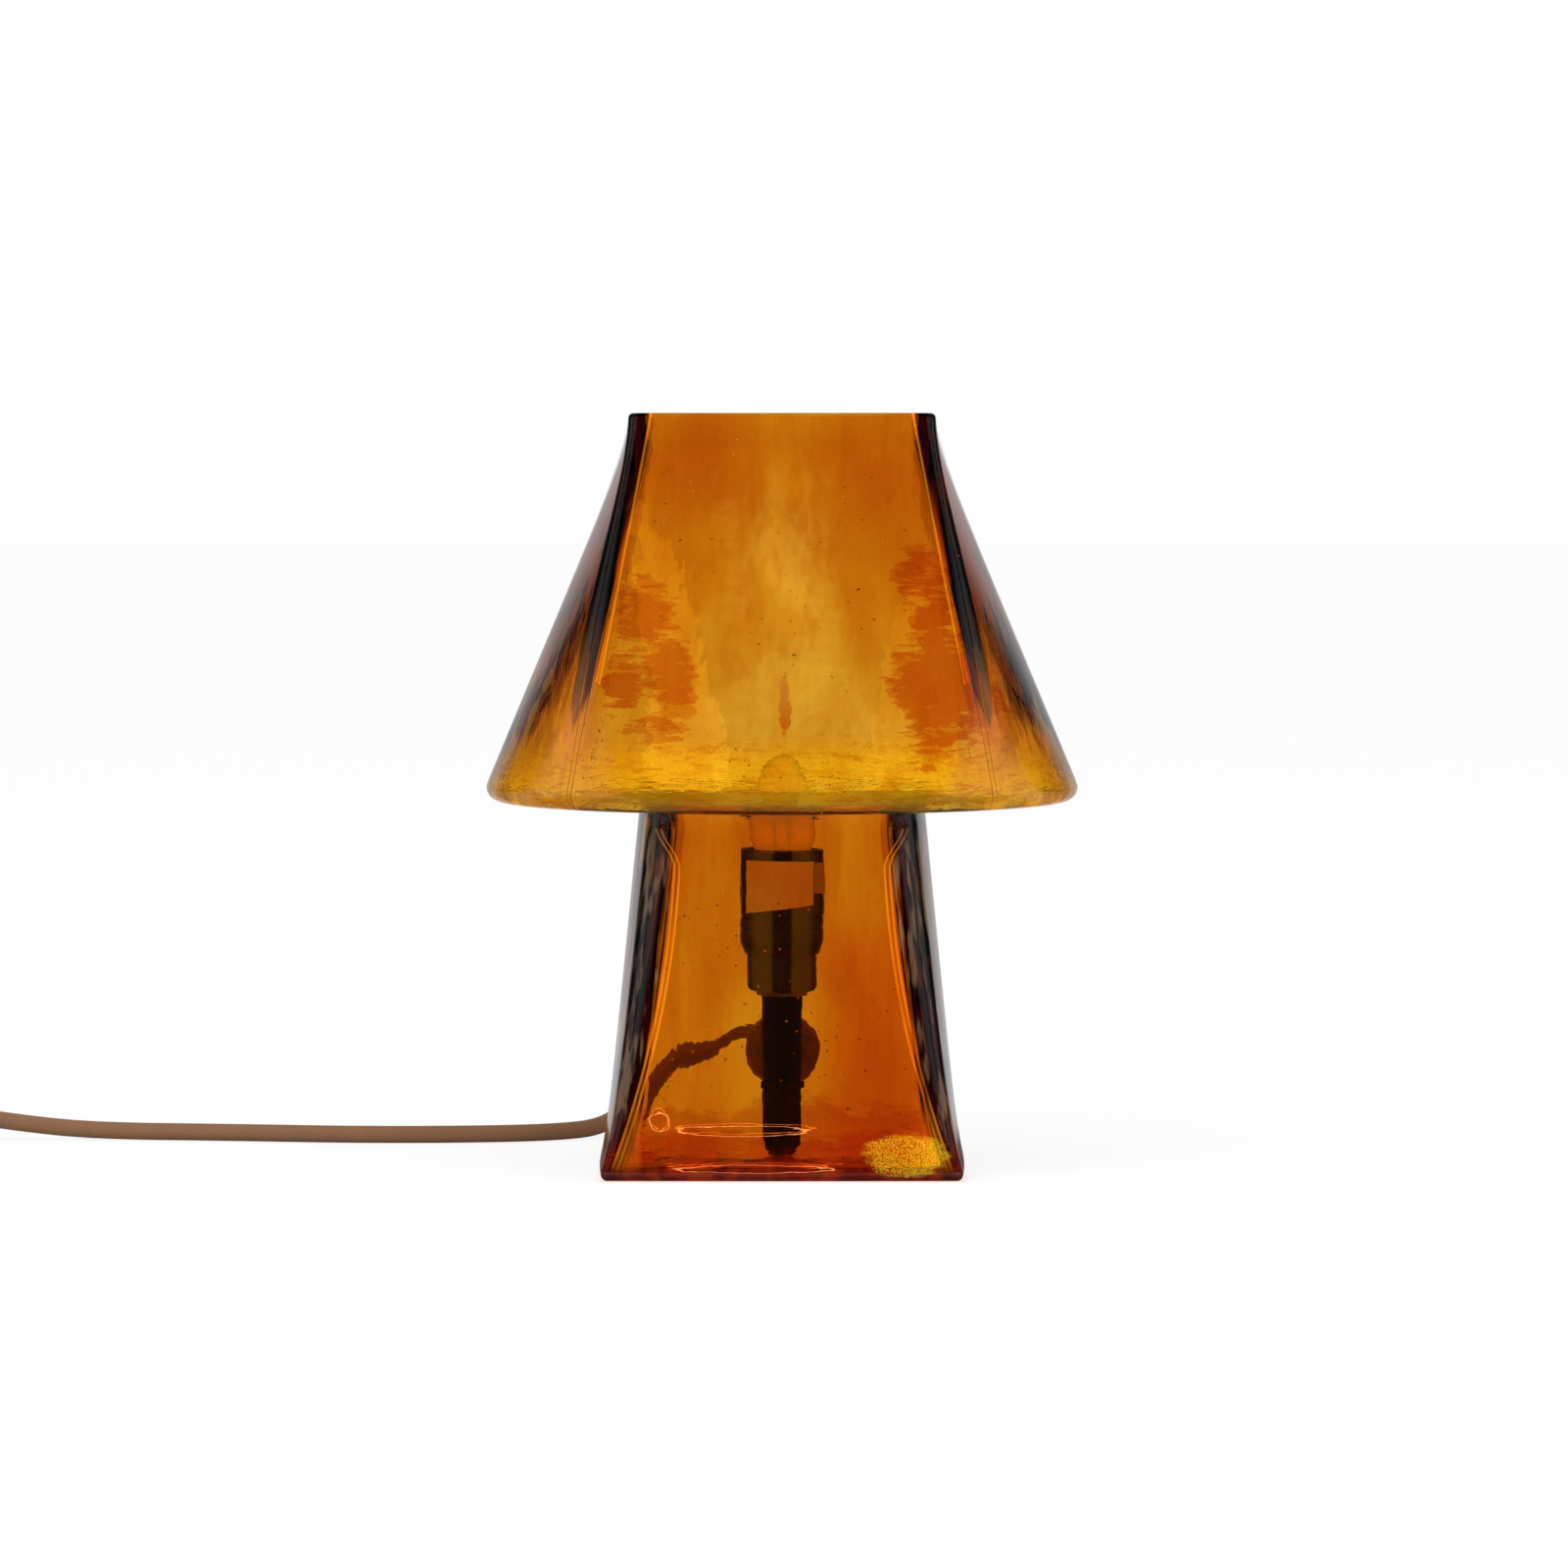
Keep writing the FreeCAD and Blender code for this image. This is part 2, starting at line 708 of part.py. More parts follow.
def swept(path, radius, start, direction):
    """Round tube along a path."""
    profile = Part.Wire([Part.makeCircle(radius, start, direction)])
    return path.makePipeShell([profile], True, False)


def arc_through(start, corner, end):
    """Arc from start to end that is tangent to both lines to the corner."""
    middle = (start + end) * 0.5
    half_turn = (corner - start).getAngle(end - corner) / 2
    crown = middle + (corner - middle) * (math.tan(half_turn / 2) / math.tan(half_turn))
    return Part.Arc(start, crown, end).toShape()


def rounded_path(points, bends=None):
    """Straight runs joined by tangent arcs, and the arcs' radii.

    Each arc takes nearly half of its shorter run, or has the radius given in bends.
    """
    spots = [FreeCAD.Vector(*point) for point in points]
    edges = []
    radii = []
    here = spots[0]
    for index, (before, corner, after) in enumerate(zip(spots, spots[1:], spots[2:])):
        way_in = (corner - before).normalize()
        way_out = (after - corner).normalize()
        half_turn = way_in.getAngle(way_out) / 2
        if bends:
            reach = bends[index] * math.tan(half_turn)
        else:
            reach = arc_reach_share * min((corner - before).Length, (after - corner).Length)
        start = corner - way_in * reach
        end = corner + way_out * reach
        edges += [Part.LineSegment(here, start).toShape(), arc_through(start, corner, end)]
        radii.append(reach / math.tan(half_turn))
        here = end
    edges.append(Part.LineSegment(here, spots[-1]).toShape())
    return Part.Wire(edges), radii


def report_tube(name, tube, path):
    share = tube.Volume / (math.pi * cord_radius ** 2 * path.Length)
    print(name, "length", round(path.Length, 1), "volume share", round(share, 4))


def cord_run(name, points):
    """Tube of the cord's size along a route; prints its length and radii."""
    path, radii = rounded_path(points)
    start = FreeCAD.Vector(*points[0])
    tube = swept(path, cord_radius, start, FreeCAD.Vector(*points[1]) - start)
    report_tube(name, tube, path)
    print(name, "radii", [round(radius, 1) for radius in radii])
    return tube


def make_socket_leads():
    """Two wires from the cord, through the arm and the stem, to the terminals."""
    leads = []
    for side in (-1, 1):
        x = side * lead_spacing
        terminal_x = side * (core_waist + lead_radius + core_clearance / 2)
        lead_top = terminal_height - terminal_shank_radius - core_clearance
        points = ((x, arm_end - cord_grip, arm_height), (x, 0, arm_height),
                  (x, 0, stem_tube_top), (terminal_x, 0, cap_top - cap_wall),
                  (terminal_x, 0, lead_top))
        path, radii = rounded_path(points, (lead_bend, lead_bend / 2, lead_bend / 2))
        leads.append(swept(path, lead_radius, FreeCAD.Vector(*points[0]), -axis_y))
    return Part.makeCompound(leads)


# Coil

coil_turns = coil_quarters / 4 + coil_end_extra / full_turn
coil_outer_radius = coil_mid_radius + coil_pitch * coil_turns / 4
coil_inner_radius = coil_mid_radius - coil_pitch * coil_turns / 4


def coil_point(turns):
    """Place on the coil's centre line after so many turns: in on one layer, out on the next."""
    radius = coil_inner_radius + coil_pitch * abs(turns - coil_turns / 2)
    climb = min(max((turns - coil_turns / 2) * 2 + 0.5, 0), 1)
    rise = coil_pitch * (1 - math.cos(math.pi * climb)) / 2
    angle = math.radians(coil_start_angle + turns * full_turn)
    return vec(coil_x + radius * math.cos(angle), coil_y + radius * math.sin(angle), coil_height + rise)


def coil_direction(turns):
    step = coil_probe_share
    return (coil_point(turns + step) - coil_point(turns - step)).normalize()


def coil_stations():
    """Turns counted at each joint of the coil's arcs: every quarter turn and the end."""
    return [quarter / 4 for quarter in range(coil_quarters + 1)] + [coil_turns]


def two_arcs(start, start_way, end, end_way):
    """Pair of arcs from start to end that leave and arrive in the given directions."""
    chord = end - start
    both = start_way + end_way
    lead = chord.dot(both)
    spread = 2 * (1 - start_way.dot(end_way))
    reach = (math.sqrt(lead ** 2 + spread * chord.dot(chord)) - lead) / spread
    first = start + start_way * reach
    second = end - end_way * reach
    joint = (first + second) * 0.5
    return [arc_through(start, first, joint), arc_through(joint, second, end)]


def coil_gap():
    """Least clear space between turns, measured on points along the centre line."""
    count = coil_quarters * coil_probes
    spots = [coil_point(coil_turns * step / count) for step in range(count + 1)]
    skip = count * 2 // (3 * int(coil_turns))
    gaps = [(spots[j] - spots[i]).Length for i in range(len(spots)) for j in range(i + skip, len(spots))]
    return min(gaps) - cord_diameter


def make_cord_coil():
    """One unbroken tube: two layers, spiralling in and then out again."""
    stations = coil_stations()
    edges = []
    for here, there in zip(stations, stations[1:]):
        edges += two_arcs(coil_point(here), coil_direction(here), coil_point(there), coil_direction(there))
    path = Part.Wire(edges)
    tube = swept(path, cord_radius, coil_point(0), coil_direction(0))
    report_tube("cord_coil", tube, path)
    print("cord_coil least gap", round(coil_gap(), 2))
    return tube


def make_power_cord():
    """Free stretches with their gripped ends: lamp to switch, switch to coil, coil to plug."""
    begin = coil_point(0)
    before = begin - coil_direction(0) * coil_lead_in
    end = coil_point(coil_turns)
    after = end + coil_direction(coil_turns) * coil_lead_out
    runs = [cord_run("lamp_lead", lamp_route),
            cord_run("switch_lead", switch_route + (tuple(before), tuple(begin))),
            cord_run("plug_lead", (tuple(end), tuple(after)) + plug_route)]
    relief_grip = cylinder(cord_radius, vec(0, arm_end + thread_clearance * 2, arm_height),
                           vec(*lamp_route[0]))
    near_grip = cylinder(cord_radius, vec(*lamp_route[-1]), vec(*lamp_route[-1]) - axis_x * cord_grip)
    far_grip = cylinder(cord_radius, vec(*switch_route[0]), vec(*switch_route[0]) + axis_x * cord_grip)
    plug_grip = cylinder(cord_radius, vec(*plug_route[-1]), vec(*plug_route[-1]) - axis_y * cord_grip)
    return Part.makeCompound([joined([runs[0], relief_grip, near_grip]), runs[1].fuse(far_grip),
                              runs[2].fuse(plug_grip)])


def make_coil_tie():
    """Flat band looped once round all the turns."""
    gap = tie_clearance + cord_radius
    near = coil_inner_radius - gap - tie_thickness
    far = coil_outer_radius + gap + tie_thickness
    top = coil_height + coil_pitch + gap + tie_thickness
    outer = block(near, far, -tie_width / 2, tie_width / 2, 0, top)
    across = [e for e in outer.Edges if e.BoundBox.YLength > tie_width / 2]
    outer = outer.makeFillet(tie_corner, across)
    inner = block(near + tie_thickness, far - tie_thickness, -tie_width, tie_width,
                  tie_thickness, top - tie_thickness)
    across = [e for e in inner.Edges if e.BoundBox.YLength > tie_width / 2]
    inner = inner.makeFillet(tie_corner - tie_thickness, across)
    tie = outer.cut(inner)
    tie.rotate(origin, axis_z, tie_angle)
    tie.translate(vec(coil_x, coil_y, 0))
    return tie


# In-line switch: built about its own middle, then set on the table

switch_screw_top = switch_screw_recess + switch_screw_head_height + switch_screw_length


def at_switch(shape):
    shape.translate(vec(switch_x, switch_y, 0))
    return shape


def switch_form():
    """Whole outside: a round-ended body with a tapered nub at each end."""
    body = block(-switch_half_length, switch_half_length, -switch_half_width, switch_half_width,
                 0, switch_top)
    body = body.makeFillet(switch_corner, upright_edges(body))
    flat = edges_between(body, -overrun / 2, overrun / 2)
    flat += edges_between(body, switch_top - overrun / 2, switch_top + overrun / 2)
    body = body.makeFillet(switch_edge, flat)
    for side in (-1, 1):
        root = vec(side * (switch_half_length - switch_wall), 0, switch_split)
        tip = vec(side * (switch_half_length + switch_nub), 0, switch_split)
        body = body.fuse(cone(switch_nub_root, switch_nub_tip, root, tip))
    return body


def switch_space():
    """Room inside the shells, with the cord's way in at each end."""
    length = switch_half_length - switch_wall
    width = switch_half_width - switch_wall
    room = block(-length, length, -width, width, switch_wall, switch_top - switch_wall)
    room = room.makeFillet(switch_corner - switch_wall, upright_edges(room))
    reach = switch_half_length + switch_nub + overrun
    way = cylinder(cord_radius + cord_clearance, vec(-reach, 0, switch_split), vec(reach, 0, switch_split))
    return room.fuse(way)


def boss_places():
    return ((-boss_x, boss_y), (boss_x, -boss_y))


def make_switch_lower_shell():
    """Lower half with its screw posts and their counterbores."""
    reach = switch_half_length + switch_nub + overrun
    below = block(-reach, reach, -switch_half_width, switch_half_width, 0, switch_split)
    shell = switch_form().common(below).cut(switch_space())
    for x, y in boss_places():
        shell = shell.fuse(cylinder(boss_radius, vec(x, y, switch_wall / 2), vec(x, y, switch_split)))
    for x, y in boss_places():
        shell = shell.cut(cylinder(switch_screw_radius + switch_screw_clearance, vec(x, y, -overrun),
                                   vec(x, y, switch_split + overrun)))
        head_room = switch_screw_head + switch_screw_clearance
        shell = shell.cut(cylinder(head_room, vec(x, y, -overrun),
                                   vec(x, y, switch_screw_recess + switch_screw_head_height)))
    return at_switch(shell)


def make_switch_upper_shell():
    """Upper half with the rocker's opening, the cheeks that hold its pin, and screw posts."""
    reach = switch_half_length + switch_nub + overrun
    above = block(-reach, reach, -switch_half_width, switch_half_width, switch_split, switch_top)
    shell = switch_form().common(above).cut(switch_space())
    inside_top = switch_top - switch_wall
    cheek_near = rocker_half_width + cheek_gap
    for side in (-1, 1):
        low, high = sorted((side * cheek_near, side * (cheek_near + cheek_thickness)))
        shell = shell.fuse(block(-cheek_half_length, cheek_half_length, low, high,
                                 rocker_pivot - cheek_half_length, inside_top + overrun / 2))
    for x, y in boss_places():
        shell = shell.fuse(cylinder(boss_radius, vec(x, y, switch_split),
                                    vec(x, y, inside_top + overrun / 2)))
    shell = shell.cut(block(-switch_opening_half_length, switch_opening_half_length,
                            -switch_opening_half_width, switch_opening_half_width,
                            inside_top - overrun, switch_top + overrun))
    pin_reach = cheek_near + cheek_thickness + overrun
    shell = shell.cut(cylinder(rocker_pin_radius + rocker_pin_clearance,
                               vec(0, -pin_reach, rocker_pivot), vec(0, pin_reach, rocker_pivot)))
    for x, y in boss_places():
        shell = shell.cut(cylinder(switch_screw_radius + switch_screw_clearance / 2,
                                   vec(x, y, switch_split - overrun), vec(x, y, switch_screw_top)))
    return at_switch(shell)


def make_switch_rocker():
    """Rocker with a shallow valley across its top, shown pressed at its -X end."""
    half = rocker_half_length
    spots = [vec(-half, 0, rocker_under), vec(half, 0, rocker_under), vec(half, 0, rocker_end_top),
             vec(0, 0, rocker_mid_top), vec(-half, 0, rocker_end_top)]
    spots = [spot - axis_y * rocker_half_width for spot in spots]
    rocker = Part.Face(Part.makePolygon(spots + spots[:1])).extrude(axis_y * (2 * rocker_half_width))
    ends = [e for e in rocker.Edges if e.BoundBox.YLength > rocker_half_width
            and e.BoundBox.ZMin > rocker_mid_top + overrun]
    rocker = rocker.makeFillet(rocker_edge, ends)
    reach = rocker_half_width + rocker_pin_reach
    rocker = rocker.fuse(cylinder(rocker_pin_radius, vec(0, -reach, rocker_pivot),
                                  vec(0, reach, rocker_pivot)))
    rocker.rotate(vec(0, 0, rocker_pivot), axis_y, -rocker_tilt)
    return at_switch(rocker)


def make_switch_screws():
    """Two screws that go up through the lower shell into the upper one."""
    screws = []
    for x, y in boss_places():
        neck = switch_screw_recess + switch_screw_head_height
        head = cylinder(switch_screw_head, vec(x, y, switch_screw_recess), vec(x, y, neck))
        shank = cylinder(switch_screw_radius, vec(x, y, neck), vec(x, y, switch_screw_top - overrun / 2))
        screws.append(head.fuse(shank))
    return at_switch(Part.makeCompound(screws))


def make_switch_contacts():
    """Two brass strips on the lower shell's floor, each bent up to the rocker."""
    strips = []
    for side in (-1, 1):
        post = side * contact_post_x
        low, high = sorted((post, post + side * contact_foot))
        foot = block(low, high, -contact_width / 2, contact_width / 2,
                     switch_wall, switch_wall + contact_strip)
        near, far = sorted((post, post + side * contact_strip))
        blade = block(near, far, -contact_width / 2, contact_width / 2, switch_wall, contact_post_top)
        strips.append(foot.fuse(blade))
    return at_switch(Part.makeCompound(strips))


def make_switch_wires():
    """The conductor that passes straight through the switch."""
    end = boss_x
    wire = cylinder(lead_radius, vec(-end, switch_wire_y, switch_wire_height),
                    vec(end, switch_wire_y, switch_wire_height))
    return at_switch(wire)


# Plug

def make_plug_body():
    """Moulded body, drawn in at its finger grips, with a tapered nub for the cord."""
    nub_end = plug_entry_y - plug_nub
    face = nub_end - plug_length
    waist = nub_end - plug_length * plug_waist_share
    sides = ((plug_nub_root, nub_end), (plug_half_width, nub_end - plug_corner),
             (plug_waist_half_width, waist),
             (plug_face_half_width, face + plug_corner * 2),
             (plug_face_half_width, face))
    right = [vec(plug_x + half, y, 0) for half, y in sides]
    left = [vec(plug_x - half, y, 0) for half, y in reversed(sides)]
    curve = [Part.LineSegment(right[0], right[1]).toShape(),
             Part.Arc(right[1], right[2], right[3]).toShape(),
             Part.LineSegment(right[3], right[4]).toShape(),
             Part.LineSegment(right[4], left[0]).toShape(),
             Part.LineSegment(left[0], left[1]).toShape(),
             Part.Arc(left[1], left[2], left[3]).toShape(),
             Part.LineSegment(left[3], left[4]).toShape(),
             Part.LineSegment(left[4], right[0]).toShape()]
    body = Part.Face(Part.Wire(curve)).extrude(vec(0, 0, plug_half_height * 2))
    body = body.makeFillet(plug_corner, upright_edges(body))
    rims = edges_between(body, -overrun / 2, overrun / 2)
    rims += edges_between(body, plug_half_height * 2 - overrun / 2, plug_half_height * 2 + overrun / 2)
    body = body.makeFillet(plug_edge, rims)
    axis_point = vec(plug_x, plug_entry_y, plug_axis_height)
    nub = cone(plug_nub_tip, plug_nub_root, axis_point, axis_point - axis_y * (plug_nub + plug_edge))
    body = body.fuse(nub)
    body = body.cut(cylinder(cord_radius + cord_clearance, axis_point + axis_y * overrun,
                             axis_point - axis_y * cord_grip))
    for x in blade_places():
        body = body.cut(block(x - blade_thickness / 2, x + blade_thickness / 2, face - overrun,
                              face + blade_root, plug_axis_height - blade_width / 2,
                              plug_axis_height + blade_width / 2))
    return body


def blade_places():
    return (plug_x - blade_spacing / 2, plug_x + blade_spacing / 2)


def make_plug_blades():
    """Two flat blades with rounded tips and a hole through each."""
    face = plug_entry_y - plug_nub - plug_length
    tip = face - blade_length
    blades = []
    for x in blade_places():
        blade = block(x - blade_thickness / 2, x + blade_thickness / 2, tip, face + blade_root,
                      plug_axis_height - blade_width / 2, plug_axis_height + blade_width / 2)
        corners = [e for e in blade.Edges if e.BoundBox.XLength > blade_thickness / 2
                   and e.BoundBox.YMax < tip + overrun / 2]
        blade = blade.makeFillet(blade_round, corners)
        hole_y = tip + blade_hole_from_tip
        blades.append(blade.cut(cylinder(blade_hole_radius, vec(x - blade_width, hole_y, plug_axis_height),
                                         vec(x + blade_width, hole_y, plug_axis_height))))
    return Part.makeCompound(blades)


def write_parts(parts):
    os.makedirs("parts", exist_ok=True)
    for name, shape in parts.items():
        shape.exportStep(os.path.join("parts", name + ".step"))
        solids = len(shape.Solids)
        print(name, solids, round(shape.Volume, 1), shape.isValid())


def main():
    glass = make_glass_body()
    parts = {
        "glass_body": glass,
        "tee_fitting": make_tee_fitting(),
        "foot_bumper": make_foot_bumper(),
        "stem_nipple": make_stem_nipple(),
        "stem_sleeve": make_stem_sleeve(),
        "stem_washer": make_stem_washer(),
        "socket_cap": make_socket_cap(),
        "cap_set_screw": make_cap_set_screw(),
        "socket_sleeve": make_socket_sleeve(),
        "socket_core": make_socket_core(),
        "socket_screw_shell": make_socket_screw_shell(),
        "socket_center_contact": make_socket_center_contact(),
        "terminal_screws": make_terminal_screws(),
        "bulb_envelope": make_bulb_envelope(),
        "bulb_mount": make_bulb_mount(),
        "bulb_filament": make_bulb_filament(),
        "bulb_screw_base": make_bulb_screw_base(),
        "bulb_insulator": make_bulb_insulator(),
        "bulb_tip_contact": make_bulb_tip_contact(),
        "arm_nipple": make_arm_nipple(),
        "inner_nut": make_inner_nut(),
        "inner_washer": make_inner_washer(),
        "inner_seal": make_inner_seal(glass),
        "outer_seal": make_outer_seal(glass),
        "outer_washer": make_outer_washer(),
        "outer_nut": make_outer_nut(),
        "strain_relief": make_strain_relief(),
        "socket_leads": make_socket_leads(),
        "power_cord": make_power_cord(),
        "cord_coil": make_cord_coil(),
        "coil_tie": make_coil_tie(),
        "switch_lower_shell": make_switch_lower_shell(),
        "switch_upper_shell": make_switch_upper_shell(),
        "switch_rocker": make_switch_rocker(),
        "switch_screws": make_switch_screws(),
        "switch_contacts": make_switch_contacts(),
        "switch_wires": make_switch_wires(),
        "plug_body": make_plug_body(),
        "plug_blades": make_plug_blades(),
    }
    write_parts(parts)


main()
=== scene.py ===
"""A blown amber-glass table lamp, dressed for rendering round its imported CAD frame.

Sizes of pieces are written in millimetres and turned into metres as the meshes are made.
Spans in the finishes are in metres, or in parts of a noise. The origin is the middle of
the underside of the glass foot, +Z is up and -Y is the front.
"""

from __future__ import annotations

import logging
import math
from dataclasses import dataclass
from enum import Enum
from functools import reduce
from typing import Any, Sequence

import bmesh
import bpy
from mathutils import Matrix, Vector, noise

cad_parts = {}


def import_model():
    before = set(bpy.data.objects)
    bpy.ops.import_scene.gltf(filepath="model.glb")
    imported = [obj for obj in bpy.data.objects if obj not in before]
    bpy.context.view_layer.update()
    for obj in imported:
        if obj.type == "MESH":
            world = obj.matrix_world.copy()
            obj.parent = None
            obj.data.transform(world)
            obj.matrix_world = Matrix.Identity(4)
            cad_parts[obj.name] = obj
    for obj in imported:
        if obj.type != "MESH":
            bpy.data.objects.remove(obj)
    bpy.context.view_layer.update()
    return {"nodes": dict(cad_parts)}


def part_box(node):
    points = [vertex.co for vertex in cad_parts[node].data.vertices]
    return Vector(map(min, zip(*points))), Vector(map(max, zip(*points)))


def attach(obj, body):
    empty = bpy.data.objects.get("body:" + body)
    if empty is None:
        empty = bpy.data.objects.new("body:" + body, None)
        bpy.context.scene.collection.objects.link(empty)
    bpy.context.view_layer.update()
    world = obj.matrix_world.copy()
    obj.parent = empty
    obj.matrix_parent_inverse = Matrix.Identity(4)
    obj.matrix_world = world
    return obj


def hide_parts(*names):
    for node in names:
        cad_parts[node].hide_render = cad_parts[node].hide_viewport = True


LOG = logging.getLogger("glass_lamp")
MM = 0.001
FULL_TURN = 2 * math.pi
TURNED_SHARP = 35.0
Colour = tuple[float, float, float]
Place = tuple[float, float, float]
Span = tuple[float, float]
Band = tuple[float, float, float, float]
Sockets = dict[str | int, Any]
WHITE: Colour = (1.0, 1.0, 1.0)
BLACK: Colour = (0.0, 0.0, 0.0)
ORIGIN: Place = (0.0, 0.0, 0.0)


class Body(Enum):
    """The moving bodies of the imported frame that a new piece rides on."""

    LAMP = "lamp"
    BULB = "bulb"


class Along(Enum):
    """The axis that a turned piece grows along."""

    Y = 1
    Z = 2


# Shader sheets

class Signal:
    """A number that varies over a surface; arithmetic on it adds Math nodes."""

    def __init__(self, sheet: "NodeSheet", socket: bpy.types.NodeSocket) -> None:
        """Wraps an output socket of a node on the sheet."""
        self.sheet = sheet
        self.socket = socket

    def _maths(self, operation: str, first: Any, second: Any = 0.0) -> "Signal":
        """Result of one new Math node."""
        return self.sheet.signal("ShaderNodeMath", {"operation": operation}, {0: first, 1: second})

    def __add__(self, other: Any) -> "Signal":
        """Sum of the signal and another."""
        return self._maths("ADD", self, other)

    def __radd__(self, other: Any) -> "Signal":
        """Sum of a number and the signal."""
        return self._maths("ADD", other, self)

    def __sub__(self, other: Any) -> "Signal":
        """Difference of the signal and another."""
        return self._maths("SUBTRACT", self, other)

    def __rsub__(self, other: Any) -> "Signal":
        """Difference of a number and the signal."""
        return self._maths("SUBTRACT", other, self)

    def __mul__(self, other: Any) -> "Signal":
        """Product of the signal and another."""
        return self._maths("MULTIPLY", self, other)

    def __rmul__(self, other: Any) -> "Signal":
        """Product of a number and the signal."""
        return self._maths("MULTIPLY", other, self)

    def __truediv__(self, other: Any) -> "Signal":
        """Quotient of the signal and another."""
        return self._maths("DIVIDE", self, other)

    def root(self) -> "Signal":
        """Square root of the signal."""
        return self._maths("SQRT", self)

    def size(self) -> "Signal":
        """The signal without its sign."""
        return self._maths("ABSOLUTE", self)

    def at_least(self, other: Any) -> "Signal":
        """The larger of the signal and another."""
        return self._maths("MAXIMUM", self, other)

    def at_most(self, other: Any) -> "Signal":
        """The smaller of the signal and another."""
        return self._maths("MINIMUM", self, other)

    def step(self, low: float, high: float) -> "Signal":
        """A smooth step, 0 at low and 1 at high, which falls if high is the smaller."""
        return self.sheet.signal("ShaderNodeMapRange", {"interpolation_type": "SMOOTHSTEP"},
                                 {"Value": self, "From Min": low, "From Max": high})

    def within(self, start: float, full: float, fade: float, end: float) -> "Signal":
        """1 from full to fade, falling smoothly to 0 at start and at end."""
        return self.step(start, full) * self.step(end, fade)


class NodeSheet:
    """A node tree and the one way that its nodes are added."""

    def __init__(self, tree: bpy.types.NodeTree, output: str) -> None:
        """Empties the tree and adds its output.

        Args:
            tree: The material's or the world's node tree.
            output: The output node's type.
        """
        self.tree = tree
        self.tree.nodes.clear()
        self.output = self.node(output)

    def node(self, kind: str, settings: dict[str, Any] | None = None,
             inputs: Sockets | None = None) -> bpy.types.Node:
        """Adds a node, with its settings before its sockets.

        Args:
            kind: The node's type.
            settings: Its own properties.
            inputs: Values, signals or output sockets for its inputs.

        Returns:
            The node.
        """
        made = self.tree.nodes.new(kind)
        for name, value in (settings or {}).items():
            setattr(made, name, value)
        for name, value in (inputs or {}).items():
            self._feed(made.inputs[name], value)
        return made

    def _feed(self, socket: bpy.types.NodeSocket, value: Any) -> None:
        """Sets or links one input.

        Args:
            socket: The input.
            value: A number, a colour, a signal or an output socket.
        """
        if isinstance(value, Signal):
            value = value.socket
        if isinstance(value, bpy.types.NodeSocket):
            self.tree.links.new(value, socket)
        elif isinstance(value, tuple) and len(value) == 3 and socket.type == "RGBA":
            socket.default_value = (*value, 1.0)
        else:
            socket.default_value = value

    def signal(self, kind: str, settings: dict[str, Any] | None = None,
               inputs: Sockets | None = None, output: str | int = 0) -> Signal:
        """One output of a new node; the first, unless another is named."""
        return Signal(self, self.node(kind, settings, inputs).outputs[output])

    def join(self, shader: bpy.types.Node, into: str = "Surface") -> None:
        """Joins a shader to an input of the output."""
        self.tree.links.new(shader.outputs[0], self.output.inputs[into])


class FinishSheet(NodeSheet):
    """The node tree of one material, with the piece's own coordinates in metres."""

    def __init__(self, name: str) -> None:
        """Makes the material.

        Args:
            name: Its name.
        """
        self.material = bpy.data.materials.new(name)
        self.material.use_nodes = True
        self.material.cycles.emission_sampling = "NONE"
        super().__init__(self.material.node_tree, "ShaderNodeOutputMaterial")
        self.place = self.node("ShaderNodeTexCoord").outputs["Object"]
        parts = self.node("ShaderNodeSeparateXYZ", None, {0: self.place}).outputs
        self.across, self.back, self.level = (Signal(self, part) for part in parts)

    def noise(self, scale: float, detail: float = 2.0, rough: float = 0.5,
              stretch: Colour | None = None, distortion: float = 0.0) -> Signal:
        """Cloudy noise over the surface.

        Args:
            scale: Features per metre.
            detail: Octaves.
            rough: Weight of each next octave.
            stretch: Factor on each axis, below 1 where the features are drawn out.
            distortion: How far the noise is warped.

        Returns:
            The noise, about 0 to 1.
        """
        place = self.place
        if stretch:
            mapping = self.node("ShaderNodeMapping", None, {"Vector": place, "Scale": stretch})
            place = mapping.outputs[0]
        return self.signal("ShaderNodeTexNoise", None, {
            "Vector": place, "Scale": scale, "Detail": detail,
            "Roughness": rough, "Distortion": distortion})

    def cells(self, scale: float) -> Signal:
        """Distance to the nearest of many scattered points, so many to the metre, in cells."""
        return self.signal("ShaderNodeTexVoronoi", None,
                           {"Vector": self.place, "Scale": scale}, "Distance")

    def shades(self, factor: Signal, low: Any, high: Colour, blend: str = "MIX"
               ) -> bpy.types.NodeSocket:
        """A colour between two, by a signal.

        Args:
            factor: 0 for the first colour, 1 for the second.
            low: The first colour, or its socket.
            high: The second.
            blend: How the second is laid over the first.

        Returns:
            The mixed colour.
        """
        made = self.node("ShaderNodeMix", {"data_type": "RGBA", "blend_type": blend},
                         {"Factor": factor, 6: low, 7: high})
        return made.outputs[2]

    def tinted(self, factor: Signal, colour: Any, tint: Colour) -> bpy.types.NodeSocket:
        """A colour multiplied by a tint, where a signal says."""
        return self.shades(factor, colour, tint, "MULTIPLY")

    def relief(self, height: Signal, depth: float) -> bpy.types.NodeSocket:
        """A bumped normal, for a height that is depth metres where it is 1."""
        return self.node("ShaderNodeBump", None, {
            "Strength": 1.0, "Distance": depth, "Height": height}).outputs["Normal"]


# Finishes

def scaled(colour: Colour, factor: float) -> Colour:
    """A colour made darker or lighter."""
    return tuple(part * factor for part in colour)


